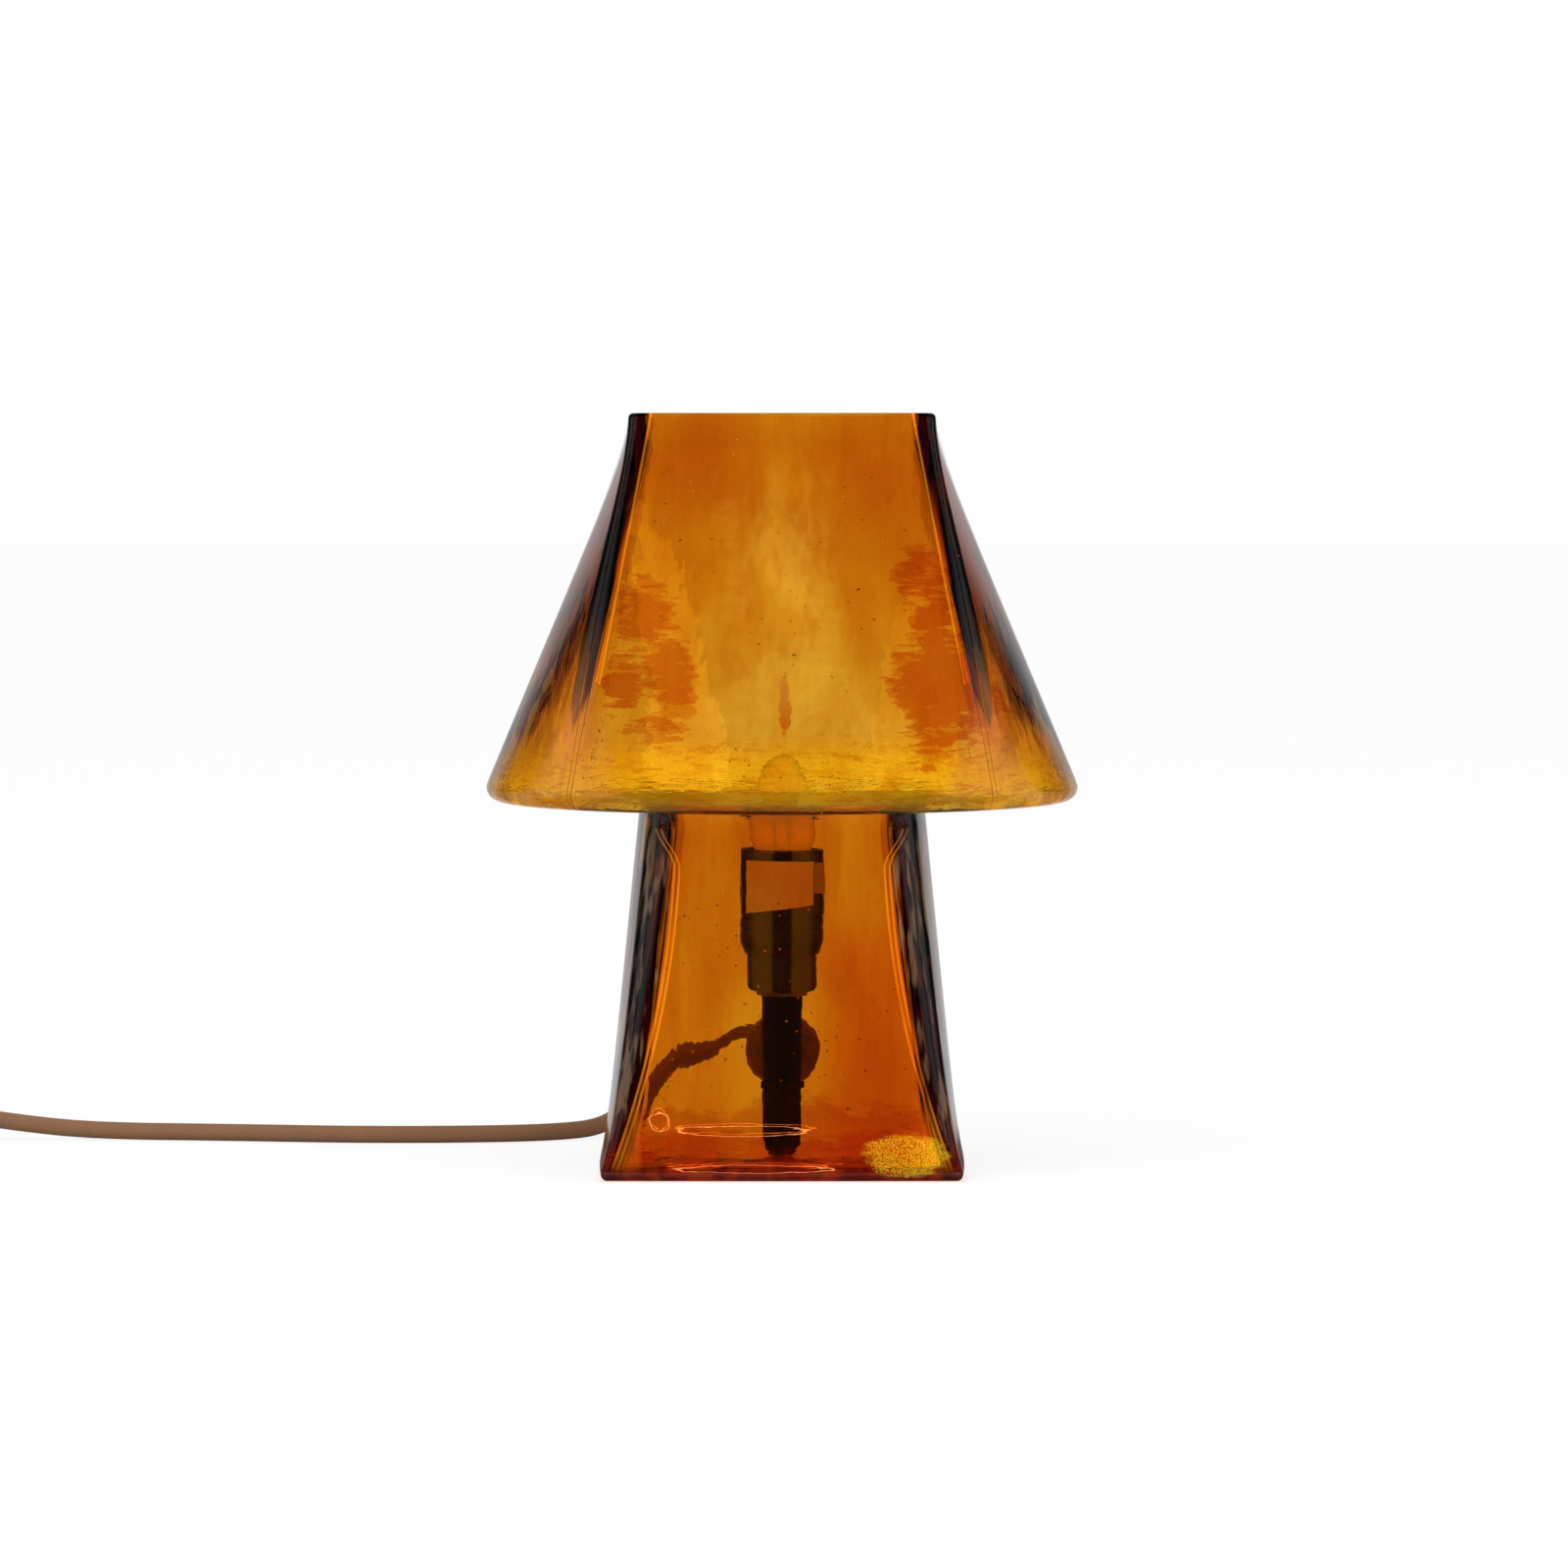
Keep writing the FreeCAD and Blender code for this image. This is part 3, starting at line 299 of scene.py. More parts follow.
@dataclass(frozen=True)
class Finish:
    """A finish of the lamp, made once as a material of its name."""

    name: str

    def sockets(self, sheet: FinishSheet) -> Sockets:
        """What feeds the main shader, from nodes that are added to the sheet."""
        raise NotImplementedError

    def make(self) -> bpy.types.Material:
        """Builds the material.

        Returns:
            The finished material.
        """
        sheet = FinishSheet(self.name)
        sheet.join(sheet.node("ShaderNodeBsdfPrincipled", None, self.sockets(sheet)))
        return sheet.material


@dataclass(frozen=True)
class Oval:
    """An oval place on the front of the glass, in millimetres."""

    across: float
    level: float
    wide: float
    tall: float

    def gap(self, sheet: FinishSheet) -> Signal:
        """How far the surface is from its middle.

        Args:
            sheet: The material's sheet.

        Returns:
            The square of the distance, 1 on the oval's edge.
        """
        aside = (sheet.across - self.across * MM) / (self.wide * MM)
        above = (sheet.level - self.level * MM) / (self.tall * MM)
        return aside * aside + above * above


class GlassNoise:
    """The noises that make the glass's colour and light uneven."""

    def __init__(self, sheet: FinishSheet) -> None:
        """Adds them to a sheet.

        Args:
            sheet: The material's sheet.
        """
        self.lobes = sheet.noise(48.0, 4.0, 0.65) - 0.5
        self.teeth = sheet.noise(440.0, 3.0, 0.6, (0.22, 0.22, 1.0)) - 0.5
        self.streaks = sheet.noise(42.0, 3.0, 0.6, (1.0, 1.0, 0.3), 0.8)
        self.threads = sheet.noise(260.0, 2.0, 0.6, (1.0, 1.0, 0.05))
        self.clouds = sheet.noise(16.0, 2.0, 0.5)
        self.smears = sheet.noise(80.0, 3.0, 0.65, (1.0, 1.0, 0.42))
        self.flow = sheet.noise(70.0, 3.0, 0.65, (1.0, 1.0, 0.16))
        self.ragged = self.teeth * 0.5 + self.lobes * 0.3


@dataclass(frozen=True)
class BlownGlass(Finish):
    """Clear coloured glass with the soft waves, seeds and mould seams of mould blowing, and painted
    light and shade in its colour and its emission.

    A span or band says at which heights, or how far aside or back, a colour comes in.
    """

    tint: Colour
    density: float
    ground: float = 0.5
    ground_levels: Span = (0.0031, 0.0028)
    front_face: Span = (-0.035, -0.05)
    front_half: Span = (-0.004, -0.026)

    # Painted shade: darker amber patches on the front of the shade, where its wall shows no
    # reflection.
    patch_shade: Colour = (0.74, 0.32, 0.05)
    patches: tuple[Oval, ...] = (
        Oval(-44.5, 188.0, 8.0, 11.0), Oval(-37.5, 168.0, 8.5, 16.0),
        Oval(-50.5, 164.0, 7.5, 9.5), Oval(-42.5, 151.0, 9.5, 5.0),
        Oval(45.0, 199.0, 8.5, 8.5), Oval(50.0, 185.0, 7.0, 9.0),
        Oval(55.5, 163.0, 16.5, 21.0), Oval(1.0, 160.0, 1.6, 9.0))
    patch_edge: Span = (1.12, 0.88)
    patch_back: Span = (-0.01, -0.03)
    streak: Colour = (0.9, 0.74, 0.42)
    cloud: Colour = (0.92, 0.76, 0.42)
    thread: Colour = (0.95, 0.84, 0.6)
    upper: Colour = (0.97, 0.85, 0.58)
    upper_levels: Span = (0.206, 0.236)
    upper_aside: Span = (0.002, 0.02)
    # Painted light: the band round the shade's rim is tinted yellow, for the light gathered there.
    painted_rim_yellow: Colour = (1.0, 1.0, 0.5)
    dash: Colour = (0.8, 0.6, 0.25)
    rim_yellow_levels: Band = (0.122, 0.128, 0.139, 0.147)
    # Darker amber on the right half of the foot, lower down.
    right_foot_tint: Colour = (0.97, 0.77, 0.5)
    right_foot_across: Span = (0.004, 0.026)
    right_foot_levels: Span = (0.092, 0.068)
    # Painted shade on the foot's floor: mottled dark red in the lowest millimetres, where the table
    # under it is lit only through the amber, and a darker band below a ragged edge higher up.
    painted_floor_red: Colour = (0.8, 0.42, 0.1)
    floor_red_levels: Span = (0.0095, 0.0055)
    floor_shade: Colour = (0.84, 0.56, 0.3)
    floor_levels: Span = (0.0165, 0.0145)
    # Painted contact shadow: a dark line along the very bottom of the foot.
    painted_contact_shadow: Colour = (0.3, 0.1, 0.05)
    contact_shadow_levels: Span = (0.0026, 0.001)

    # Painted light, given off as emission, from here on: glows, reflections, a caustic and
    # highlights.
    heel_light: Colour = (0.12, 0.012, 0.001)
    heel_levels: Span = (0.0125, 0.003)
    # Painted glow up the lower sides of the shade and the neck.
    side_glow: Colour = (0.16, 0.066, 0.004)
    shade_aside: Span = (0.056, 0.074)
    shade_levels: Span = (0.196, 0.158)
    neck_aside: Span = (0.041, 0.045)
    neck_levels: Band = (0.078, 0.1, 0.117, 0.121)
    # Painted glow in the band round the rim.
    glow: Colour = (0.06, 0.04, 0.0)
    glow_levels: Band = (0.124, 0.129, 0.137, 0.146)
    # Painted reflection: a soft light column up the middle of the shade's front.
    column_light: Colour = (0.09, 0.095, 0.014)
    column_aside: Span = (0.022, 0.004)
    column_levels: Band = (0.15, 0.17, 0.22, 0.245)
    # Painted caustic: a grainy pool of bright yellow light low on the front of the foot.
    caustic_light: Colour = (0.5, 0.42, 0.012)
    caustic_pool: Oval = Oval(41.0, 8.4, 14.0, 7.0)
    # Painted highlights: thin bright loops low on the front.
    glint: Colour = (0.9, 0.3, 0.1)
    glints: tuple[Oval, ...] = (
        Oval(-12.0, 16.6, 22.0, 1.7), Oval(-40.5, 19.5, 3.0, 3.4), Oval(-9.0, 4.2, 27.0, 1.2))

    # Painted light: thin bright lines along the front's panel edges.
    edge_light: Colour = (0.42, 0.12, 0.004)
    edge_levels: Span = (0.002, 0.009)
    foot_edge: tuple[float, float, float] = (1.67, 0.385, 0.0577)
    foot_end: Span = (0.116, 0.118)
    neck_curl: float = 0.0065
    curl_levels: Span = (0.103, 0.117)
    second_line: float = 0.0017
    shade_edge: tuple[float, float] = (-0.19, 0.0914)
    shade_end: Span = (0.165, 0.155)
    far_off: float = 0.2
    # Painted light filling the foot's dark corners, and painted reflection streaks beside them.
    corner_light: Colour = (0.2, 0.05, 0.002)
    fill_aside: Span = (0.0455, 0.0485)
    fill_levels: Band = (0.0015, 0.007, 0.02, 0.034)
    corner_reflection: Colour = (0.11, 0.065, 0.035)
    streak_levels: Band = (0.008, 0.016, 0.108, 0.116)

    wave_depth: float = 0.17
    peel_depth: float = 0.055
    ripple_depth: float = 0.1
    rim_levels: Band = (0.112, 0.122, 0.130, 0.143)
    base_levels: Span = (0.022, 0.006)
    seed_depth: float = 0.25
    seam_half_width: float = 0.0005
    seam_depth: float = 0.1

    def colour(self, sheet: FinishSheet, uneven: GlassNoise) -> bpy.types.NodeSocket:
        """The glass's colour on top of that of its volume, with painted shade and light: darker
        patches on the front, a yellow band round the rim, a dark red floor and a dark contact line
        along the bottom.

        Args:
            sheet: The material's sheet.
            uneven: The glass's noises.

        Returns:
            The colour.
        """
        level, lobes, teeth, clouds = sheet.level, uneven.lobes, uneven.teeth, uneven.clouds
        # Painted light and shade follow: the yellow band round the rim, the darker patches on the
        # front, the dark red floor and the contact shadow along the bottom.
        low_band = level.within(*self.rim_yellow_levels)
        upper = level.step(*self.upper_levels) * (clouds + lobes * 0.6).step(0.4, 0.56)
        upper = upper * (sheet.across.size() + lobes * 0.04).step(*self.upper_aside)
        nearest = reduce(Signal.at_most, [patch.gap(sheet) for patch in self.patches])
        patch = (nearest + (lobes * 4.2 + teeth * 4.4)).step(*self.patch_edge)
        patch = patch * sheet.back.step(*self.patch_back) * (clouds.step(0.36, 0.58) * 0.2 + 0.8)
        right_foot = sheet.across.step(*self.right_foot_across) * level.step(*self.right_foot_levels)
        painted_amber_shade = level.step(*self.floor_red_levels) * uneven.smears.step(0.42, 0.56)
        pooled = (level + lobes * 0.02 + teeth * 0.008).step(*self.floor_levels)
        shade = WHITE
        for lay, factor, tint in (
                (sheet.shades, uneven.streaks.step(0.4, 0.66), self.streak),
                (sheet.shades, clouds.step(0.45, 0.7), self.cloud),
                (sheet.tinted, upper, self.upper),
                (sheet.tinted, uneven.threads.step(0.45, 0.75) * 0.8, self.thread),
                (sheet.tinted, low_band, self.painted_rim_yellow),
                (sheet.tinted, low_band * teeth.step(0.05, 0.12), self.dash),
                (sheet.shades, patch, self.patch_shade),
                (sheet.tinted, right_foot, self.right_foot_tint),
                (sheet.shades, painted_amber_shade, self.painted_floor_red),
                (sheet.tinted, pooled, self.floor_shade),
                (sheet.tinted, level.step(*self.contact_shadow_levels), self.painted_contact_shadow)):
            shade = lay(factor, shade, tint)
        return shade

    def painted_light(self, sheet: FinishSheet, uneven: GlassNoise) -> bpy.types.NodeSocket:
        """Painted light, given off as emission: glows in the thick heel, round the rim and up the
        sides, a reflection column up the front, and the front's lines, caustic and highlights.

        Args:
            sheet: The material's sheet.
            uneven: The glass's noises.

        Returns:
            The colour of that light.
        """
        level, aside, flow, ragged = sheet.level, sheet.across.size(), uneven.flow, uneven.ragged
        front = sheet.back.step(*self.front_face)
        ahead = sheet.back.step(*self.front_half)
        heel = level.step(*self.heel_levels) * (uneven.smears.step(0.42, 0.6) * 0.9 + 0.1)
        sides = aside.step(*self.shade_aside) * level.step(*self.shade_levels)
        sides = sides + aside.step(*self.neck_aside) * level.within(*self.neck_levels)
        column = (aside + ragged * 0.03).step(*self.column_aside) * level.within(*self.column_levels)
        light = BLACK
        for factor, colour in (
                (heel, self.heel_light), (sides * ahead * flow.step(0.5, 0.6), self.side_glow),
                (level.within(*self.glow_levels) * (ragged * 3.0 + 0.8), self.glow),
                (front * column * flow.step(0.36, 0.6), self.column_light),
                *self.panel_edges(sheet, front * flow.step(0.3, 0.5),
                                  ahead * uneven.threads.step(0.5, 0.64)),
                *self.front_spots(sheet, front, ragged)):
            light = sheet.shades(factor, light, colour)
        return light

    def front_spots(self, sheet: FinishSheet, front: Signal, ragged: Signal
                    ) -> list[tuple[Signal, Colour]]:
        """Painted light: the grainy bright caustic pool and the thin bright highlight loops low on
        the front.

        Args:
            sheet: The material's sheet.
            front: 1 on the front face.
            ragged: Noise about 0 that makes their edges ragged.

        Returns:
            Where each is, with its colour.
        """
        pool = self.caustic_pool.gap(sheet) + ragged * 3.2
        caustic_specks = sheet.cells(2300.0).step(0.66, 0.3) * 0.8 + sheet.across.step(0.038, 0.05) * 0.2
        rings = [(glint.gap(sheet) + ragged * 3.8 - 1.0).size() for glint in self.glints]
        loops = reduce(Signal.at_most, rings).step(0.13, 0.04)
        return [(front * pool.step(1.15, 0.6) * caustic_specks, self.caustic_light), (front * loops, self.glint)]

    def panel_edges(self, sheet: FinishSheet, strength: Signal, fibres: Signal
                    ) -> list[tuple[Signal, Colour]]:
        """Painted light: thin bright lines along the edges of the front's flat panels, with light
        filling the foot's corners and reflection streaks beside them.

        Args:
            sheet: The material's sheet.
            strength: How bright the lines are, 0 to 1.
            fibres: Upright streaks on the lamp's front half, 0 to 1.

        Returns:
            Where the foot's corners, the streaks beside them and the lines are, each with
            its colour.
        """
        level, aside = sheet.level, sheet.across.size()
        bow, slope, start = self.foot_edge
        edge = level * level * bow - level * slope + start
        edge = edge + level.step(*self.curl_levels) * self.neck_curl
        gap = (aside - edge) + level.step(*self.foot_end) * self.far_off
        slope, start = self.shade_edge
        shade_gap = (aside - (level * slope + start)).size()
        shade_gap = shade_gap + level.step(*self.shade_end) * self.far_off
        lines = gap.size().step(0.0006, 0.0002).at_least(
            (gap + self.second_line).size().step(0.0005, 0.0001))
        lines = lines.at_least(shade_gap.step(0.0006, 0.0001))
        filled = gap.step(0.0, -0.0012) * aside.step(*self.fill_aside)
        filled = filled * level.within(*self.fill_levels) * (strength * 0.6 + 0.2)
        beside = gap.step(0.0004, 0.002) * level.within(*self.streak_levels)
        return [(filled, self.corner_light), (beside * fibres, self.corner_reflection),
                (lines * strength * level.step(*self.edge_levels), self.edge_light)]

    def unevenness(self, sheet: FinishSheet) -> Signal:
        """Waves, fine peel, ripples by the rim and the base, seeds and mould seams.

        Args:
            sheet: The material's sheet.

        Returns:
            The height in millimetres.
        """
        waves = sheet.noise(24.0, 2.0, 0.45)
        peel = sheet.noise(190.0, 2.0, 0.5, (1.0, 1.0, 0.5)) * self.peel_depth
        ripples = sheet.noise(620.0, 2.0, 0.6, (0.22, 0.22, 1.0)) * self.ripple_depth
        ripples = ripples * (sheet.level.within(*self.rim_levels)
                             + sheet.level.step(*self.base_levels) * 0.7)
        seeds = sheet.cells(240.0).step(0.1, 0.03) * waves.step(0.5, 0.56)
        seam_gap = (sheet.across.size() - sheet.back.size()).size()
        seams = seam_gap.step(self.seam_half_width, 0.0) * self.seam_depth
        return waves * self.wave_depth + peel + ripples - seeds * self.seed_depth + seams

    def sockets(self, sheet: FinishSheet) -> Sockets:
        """What feeds the main shader, after the volume that colours the glass.

        Args:
            sheet: The material's sheet.

        Returns:
            The shader's inputs.
        """
        sheet.join(sheet.node("ShaderNodeVolumeAbsorption", None,
                              {"Color": self.tint, "Density": self.density}), "Volume")
        uneven = GlassNoise(sheet)
        return {"Base Color": self.colour(sheet, uneven), "IOR": 1.5, "Transmission Weight": 1.0,
                "Roughness": sheet.level.step(*self.ground_levels) * self.ground,
                "Emission Color": self.painted_light(sheet, uneven), "Emission Strength": 1.0,
                "Normal": sheet.relief(self.unevenness(sheet), MM)}


@dataclass(frozen=True)
class FrostedGlass(Finish):
    """The etched, light-scattering glass of an unlit bulb, with a painted warm glow that is
    yellower higher up.
    """

    colour: Colour
    # Painted glow, given off as emission, though the bulb is unlit.
    low_glow: Colour = (0.09, 0.045, 0.003)
    high_glow: Colour = (0.07, 0.075, 0.006)
    glow_levels: Span = (0.112, 0.13)

    def sockets(self, sheet: FinishSheet) -> Sockets:
        """What feeds the main shader.

        Args:
            sheet: The material's sheet.

        Returns:
            The shader's inputs.
        """
        cloud = sheet.noise(90.0, 3.0)
        # Painted glow, yellower higher up.
        glow = sheet.shades(sheet.level.step(*self.glow_levels), self.low_glow, self.high_glow)
        return {"Base Color": sheet.shades(cloud, self.colour, scaled(self.colour, 0.93)),
                "Roughness": 0.5 + cloud * 0.1, "IOR": 1.15, "Transmission Weight": 0.8,
                "Emission Color": glow, "Emission Strength": 1.0,
                "Normal": sheet.relief(sheet.noise(2600.0), 0.01 * MM)}


@dataclass(frozen=True)
class ClearGlass(Finish):
    """Plain clear glass, for the mount inside the bulb."""

    def sockets(self, sheet: FinishSheet) -> Sockets:
        """What feeds the main shader."""
        return {"Base Color": (0.95, 0.97, 0.96), "Roughness": 0.02, "IOR": 1.5,
                "Transmission Weight": 1.0,
                "Normal": sheet.relief(sheet.noise(200.0), 0.05 * MM)}


@dataclass(frozen=True)
class Moulded(Finish):
    """Moulded plastic or rubber: grained, a little mottled and rubbed duller in places."""

    colour: Colour
    roughness: float
    grain: float = 1800.0
    grain_depth: float = 0.02
    mottle: float = 0.35
    dust: float = 0.0
    dust_grey: float = 0.3
    ior: float = 1.5
    # Painted highlights: two soft upright bands of light on the front, given off as emission.
    painted_sheen: Colour = BLACK
    sheen_aside: Band = (0.0026, 0.004, 0.008, 0.0115)
    sheen_back: Span = (-0.002, -0.006)

    def sockets(self, sheet: FinishSheet) -> Sockets:
        """What feeds the main shader, with two soft upright painted highlights on the front if it
        has them.

        Args:
            sheet: The material's sheet.

        Returns:
            The shader's inputs.
        """
        cloud = sheet.noise(60.0, 4.0, 0.6)
        specks = sheet.cells(900.0).step(0.16, 0.04) * sheet.noise(240.0).step(0.5, 0.62)
        dusty = tuple(c + (self.dust_grey - c) * self.dust for c in self.colour)
        shade = sheet.shades(cloud, scaled(self.colour, 1 - self.mottle),
                             scaled(self.colour, 1 + self.mottle))
        sockets = {
            "Base Color": sheet.shades(specks * 0.5, shade, dusty), "IOR": self.ior,
            "Roughness": self.roughness + (cloud - 0.5) * 0.18 + specks * 0.15,
            "Normal": sheet.relief(sheet.noise(self.grain) + cloud * 2.0, self.grain_depth * MM)}
        # Painted highlights, given off as emission.
        if max(self.painted_sheen) > 0:
            bands = sheet.across.size().within(*self.sheen_aside)
            bands = bands * sheet.back.step(*self.sheen_back) * (cloud * 0.9 + 0.3)
            sockets["Emission Color"] = sheet.shades(bands, BLACK, self.painted_sheen)
            sockets["Emission Strength"] = 1.0
        return sockets


@dataclass(frozen=True)
class Metal(Finish):
    """Plated, painted or bare metal, turned or drawn, with a fine grain and some dulling."""

    colour: Colour
    roughness: float
    stretch: Colour = (1.0, 1.0, 30.0)
    metallic: float = 1.0

    def sockets(self, sheet: FinishSheet) -> Sockets:
        """What feeds the main shader.

        Args:
            sheet: The material's sheet.

        Returns:
            The shader's inputs.
        """
        lines = sheet.noise(400.0, 3.0, 0.6, self.stretch)
        cloud = sheet.noise(160.0, 4.0, 0.6)
        dulled = sheet.shades(cloud.step(0.35, 0.75), self.colour, scaled(self.colour, 0.62))
        return {"Base Color": dulled, "Metallic": self.metallic,
                "Roughness": self.roughness + cloud * 0.2 + (lines - 0.5) * 0.12,
                "Normal": sheet.relief(lines, 0.012 * MM)}


@dataclass(frozen=True)
class Paper(Finish):
    """Bare kraft-brown paper, fibrous and slightly creased, brightened by a faint painted glow."""

    colour: Colour
    # Painted glow, given off as emission, that brightens the paper.
    glow: Colour

    def sockets(self, sheet: FinishSheet) -> Sockets:
        """What feeds the main shader.

        Args:
            sheet: The material's sheet.

        Returns:
            The shader's inputs.
        """
        fibres = sheet.noise(700.0, 4.0, 0.65, (1.0, 1.0, 0.25))
        cloud = sheet.noise(110.0, 3.0)
        shade = sheet.shades(fibres * 0.6 + cloud * 0.4, self.colour, scaled(self.colour, 0.8))
        return {"Base Color": shade, "Roughness": 0.62 + fibres * 0.15,
                "Emission Color": self.glow, "Emission Strength": 1.0,
                "Normal": sheet.relief(fibres + cloud, 0.04 * MM)}


class Finishes:
    """Every finish of the lamp, made once."""

    def __init__(self) -> None:
        """Makes the materials."""
        self.amber = BlownGlass("amber_glass", (0.928, 0.735, 0.0), 420.0).make()
        self.frosted = FrostedGlass("frosted_glass", (1.0, 0.82, 0.52)).make()
        self.clear = ClearGlass("clear_glass").make()
        self.nickel = Metal("nickel", (0.72, 0.69, 0.62), 0.24).make()
        self.tungsten = Metal("tungsten", (0.3, 0.29, 0.28), 0.4).make()
        self.black_glass = Moulded("black_glass", (0.02, 0.02, 0.022), 0.12, 900.0, 0.004).make()
        self.solder = Metal("solder", (0.6, 0.6, 0.6), 0.38, WHITE).make()
        # The phenolic carries painted highlights.
        self.phenolic = Moulded("black_phenolic", (0.02, 0.015, 0.012), 0.26,
                                dust=0.06, ior=2.1, painted_sheen=(0.075, 0.05, 0.035)).make()
        self.core = Moulded("core_phenolic", (0.045, 0.036, 0.03), 0.55, dust=0.15).make()
        self.brass = Metal("brass", (0.75, 0.52, 0.22), 0.26).make()
        self.steel = Metal("zinc_steel", (0.62, 0.62, 0.6), 0.3).make()
        self.dull_steel = Metal("dull_steel", (0.4, 0.36, 0.32), 0.5, metallic=0.2).make()
        self.black_steel = Metal("black_steel", (0.009, 0.008, 0.008), 0.3, metallic=0.0).make()
        self.black_rubber = Moulded("black_rubber", (0.022, 0.018, 0.016), 0.52,
                                    1100.0, 0.03, dust=0.2).make()
        self.brown_rubber = Moulded("brown_rubber", (0.38, 0.2, 0.1), 0.46,
                                    1100.0, 0.03, dust=0.15).make()
        self.fibre = Moulded("fibre", (0.62, 0.44, 0.32), 0.55, 1100.0, 0.03).make()
        self.wire = Moulded("wire_jacket", (0.05, 0.045, 0.04), 0.4).make()
        self.cord = Moulded("brown_cord", (0.3, 0.15, 0.07), 0.38, 1500.0, 0.02,
                            0.12, dust=0.1).make()
        self.switch = Moulded("switch_plastic", (0.1, 0.047, 0.022), 0.48, 1300.0, 0.03,
                              0.1, dust=0.1).make()
        self.rocker = Moulded("rocker_plastic", (0.045, 0.024, 0.014), 0.24, 900.0, 0.01,
                              0.1, dust=0.1).make()
        self.tie = Moulded("tie_plastic", (0.03, 0.026, 0.022), 0.5).make()
        self.paper = Paper("bare_paper", (0.95, 0.82, 0.62), (0.13, 0.06, 0.03)).make()
        self.worn_paper = Paper("worn_paper", (0.62, 0.5, 0.36), (0.06, 0.028, 0.012)).make()


# Mesh steps

def clear_selection() -> None:
    """Deselects everything, so that the next operator acts on its own piece only."""
    bpy.ops.object.select_all(action="DESELECT")


def round_ring(radius: float, level: float, points: int, along: Along = Along.Z,
               centre: Place = ORIGIN) -> list[Vector]:
    """A circle of points square to an axis.

    Args:
        radius: Its radius in millimetres.
        level: Its place along the axis in millimetres.
        points: How many points.
        along: The axis.
        centre: Where the axis passes, in millimetres.

    Returns:
        The points in metres.
    """
    ring = []
    for index in range(points):
        angle = FULL_TURN * index / points
        spot = [radius * math.cos(angle), radius * math.sin(angle)]
        spot.insert(along.value, level)
        ring.append((Vector(spot) + Vector(centre)) * MM)
    return ring


def quarter_steps(radius: float, count: int) -> list[tuple[float, float]]:
    """Steps round a quarter circle.

    Args:
        radius: Its radius.
        count: Steps in it.

    Returns:
        For each step, the distance in from the side and the distance from its flat end.
    """
    angles = [math.pi / 2 * step / count for step in range(count + 1)]
    return [(radius * (1 - math.sin(a)), radius * (1 - math.cos(a))) for a in angles]


def eased(share: float) -> float:
    """A smooth step from 0 to 1."""
    return share * share * (3 - 2 * share)


def levels(low: float, high: float, steps: int) -> list[float]:
    """Even steps from above a low level up to a high one."""
    return [low + (high - low) * index / steps for index in range(1, steps + 1)]


class RingStack:
    """A shell grown as by hand: each ring is extruded from the last and then shaped."""

    def __init__(self, name: str, first: Sequence[Vector], capped: bool) -> None:
        """Adds the first ring.

        Args:
            name: The piece's name.
            first: The first ring's points in metres.
            capped: Whether a face closes this end.
        """
        clear_selection()
        bpy.ops.mesh.primitive_circle_add(vertices=len(first), radius=1.0)
        self.piece = bpy.context.object
        self.piece.name = name
        self.count = len(first)
        bpy.ops.object.mode_set(mode="EDIT")
        bpy.ops.mesh.select_all(action="SELECT")
        for vertex, spot in zip(self._vertices(), first):
            vertex.co = spot
        self.last = [spot.copy() for spot in first]
        bmesh.update_edit_mesh(self.piece.data)
        if capped:
            bpy.ops.mesh.edge_face_add()

    def _vertices(self) -> list[bmesh.types.BMVert]:
        """The last ring's vertices, which are the newest in the mesh.

        Returns:
            The vertices, usable while the stack holds the mesh.
        """
        self.mesh = bmesh.from_edit_mesh(self.piece.data)
        self.mesh.verts.ensure_lookup_table()
        return self.mesh.verts[len(self.mesh.verts) - self.count:]

    def grow(self, spots: Sequence[Vector]) -> None:
        """Extrudes the last ring and moves the new one into place.

        Args:
            spots: The new ring's points in metres.
        """
        bpy.ops.mesh.select_mode(type="EDGE")
        bpy.ops.mesh.select_all(action="DESELECT")
        ring = self._vertices()
        members = set(ring)
        for vertex in ring:
            for edge in vertex.link_edges:
                if edge.other_vert(vertex) in members:
                    edge.select = True
        bmesh.update_edit_mesh(self.piece.data)
        bpy.ops.mesh.extrude_edges_move()
        order = {tuple(round(c, 7) for c in spot): index for index, spot in enumerate(self.last)}
        for vertex in self._vertices():
            vertex.co = spots[order[tuple(round(c, 7) for c in vertex.co)]]
        self.last = [spot.copy() for spot in spots]
        bmesh.update_edit_mesh(self.piece.data)

    def close(self, hollow: bool) -> None:
        """Closes the shell.

        Args:
            hollow: Whether its last ring lies on its first, and isn't capped.
        """
        if hollow:
            bpy.ops.mesh.select_all(action="SELECT")
            bpy.ops.mesh.remove_doubles(threshold=0.001 * MM)
        else:
            bpy.ops.mesh.edge_face_add()

    def finish(self, sharp_degrees: float) -> bpy.types.Object:
        """Turns the faces outwards and shades them smooth.

        Args:
            sharp_degrees: Edges that turn more than this stay sharp.

        Returns:
            The piece.
        """
        bpy.ops.mesh.select_all(action="SELECT")
        bpy.ops.mesh.normals_make_consistent(inside=False)
        bpy.ops.object.mode_set(mode="OBJECT")
        if sharp_degrees < 180.0:
            bpy.ops.object.shade_smooth_by_angle(angle=math.radians(sharp_degrees))
        else:
            bpy.ops.object.shade_smooth()
        return self.piece


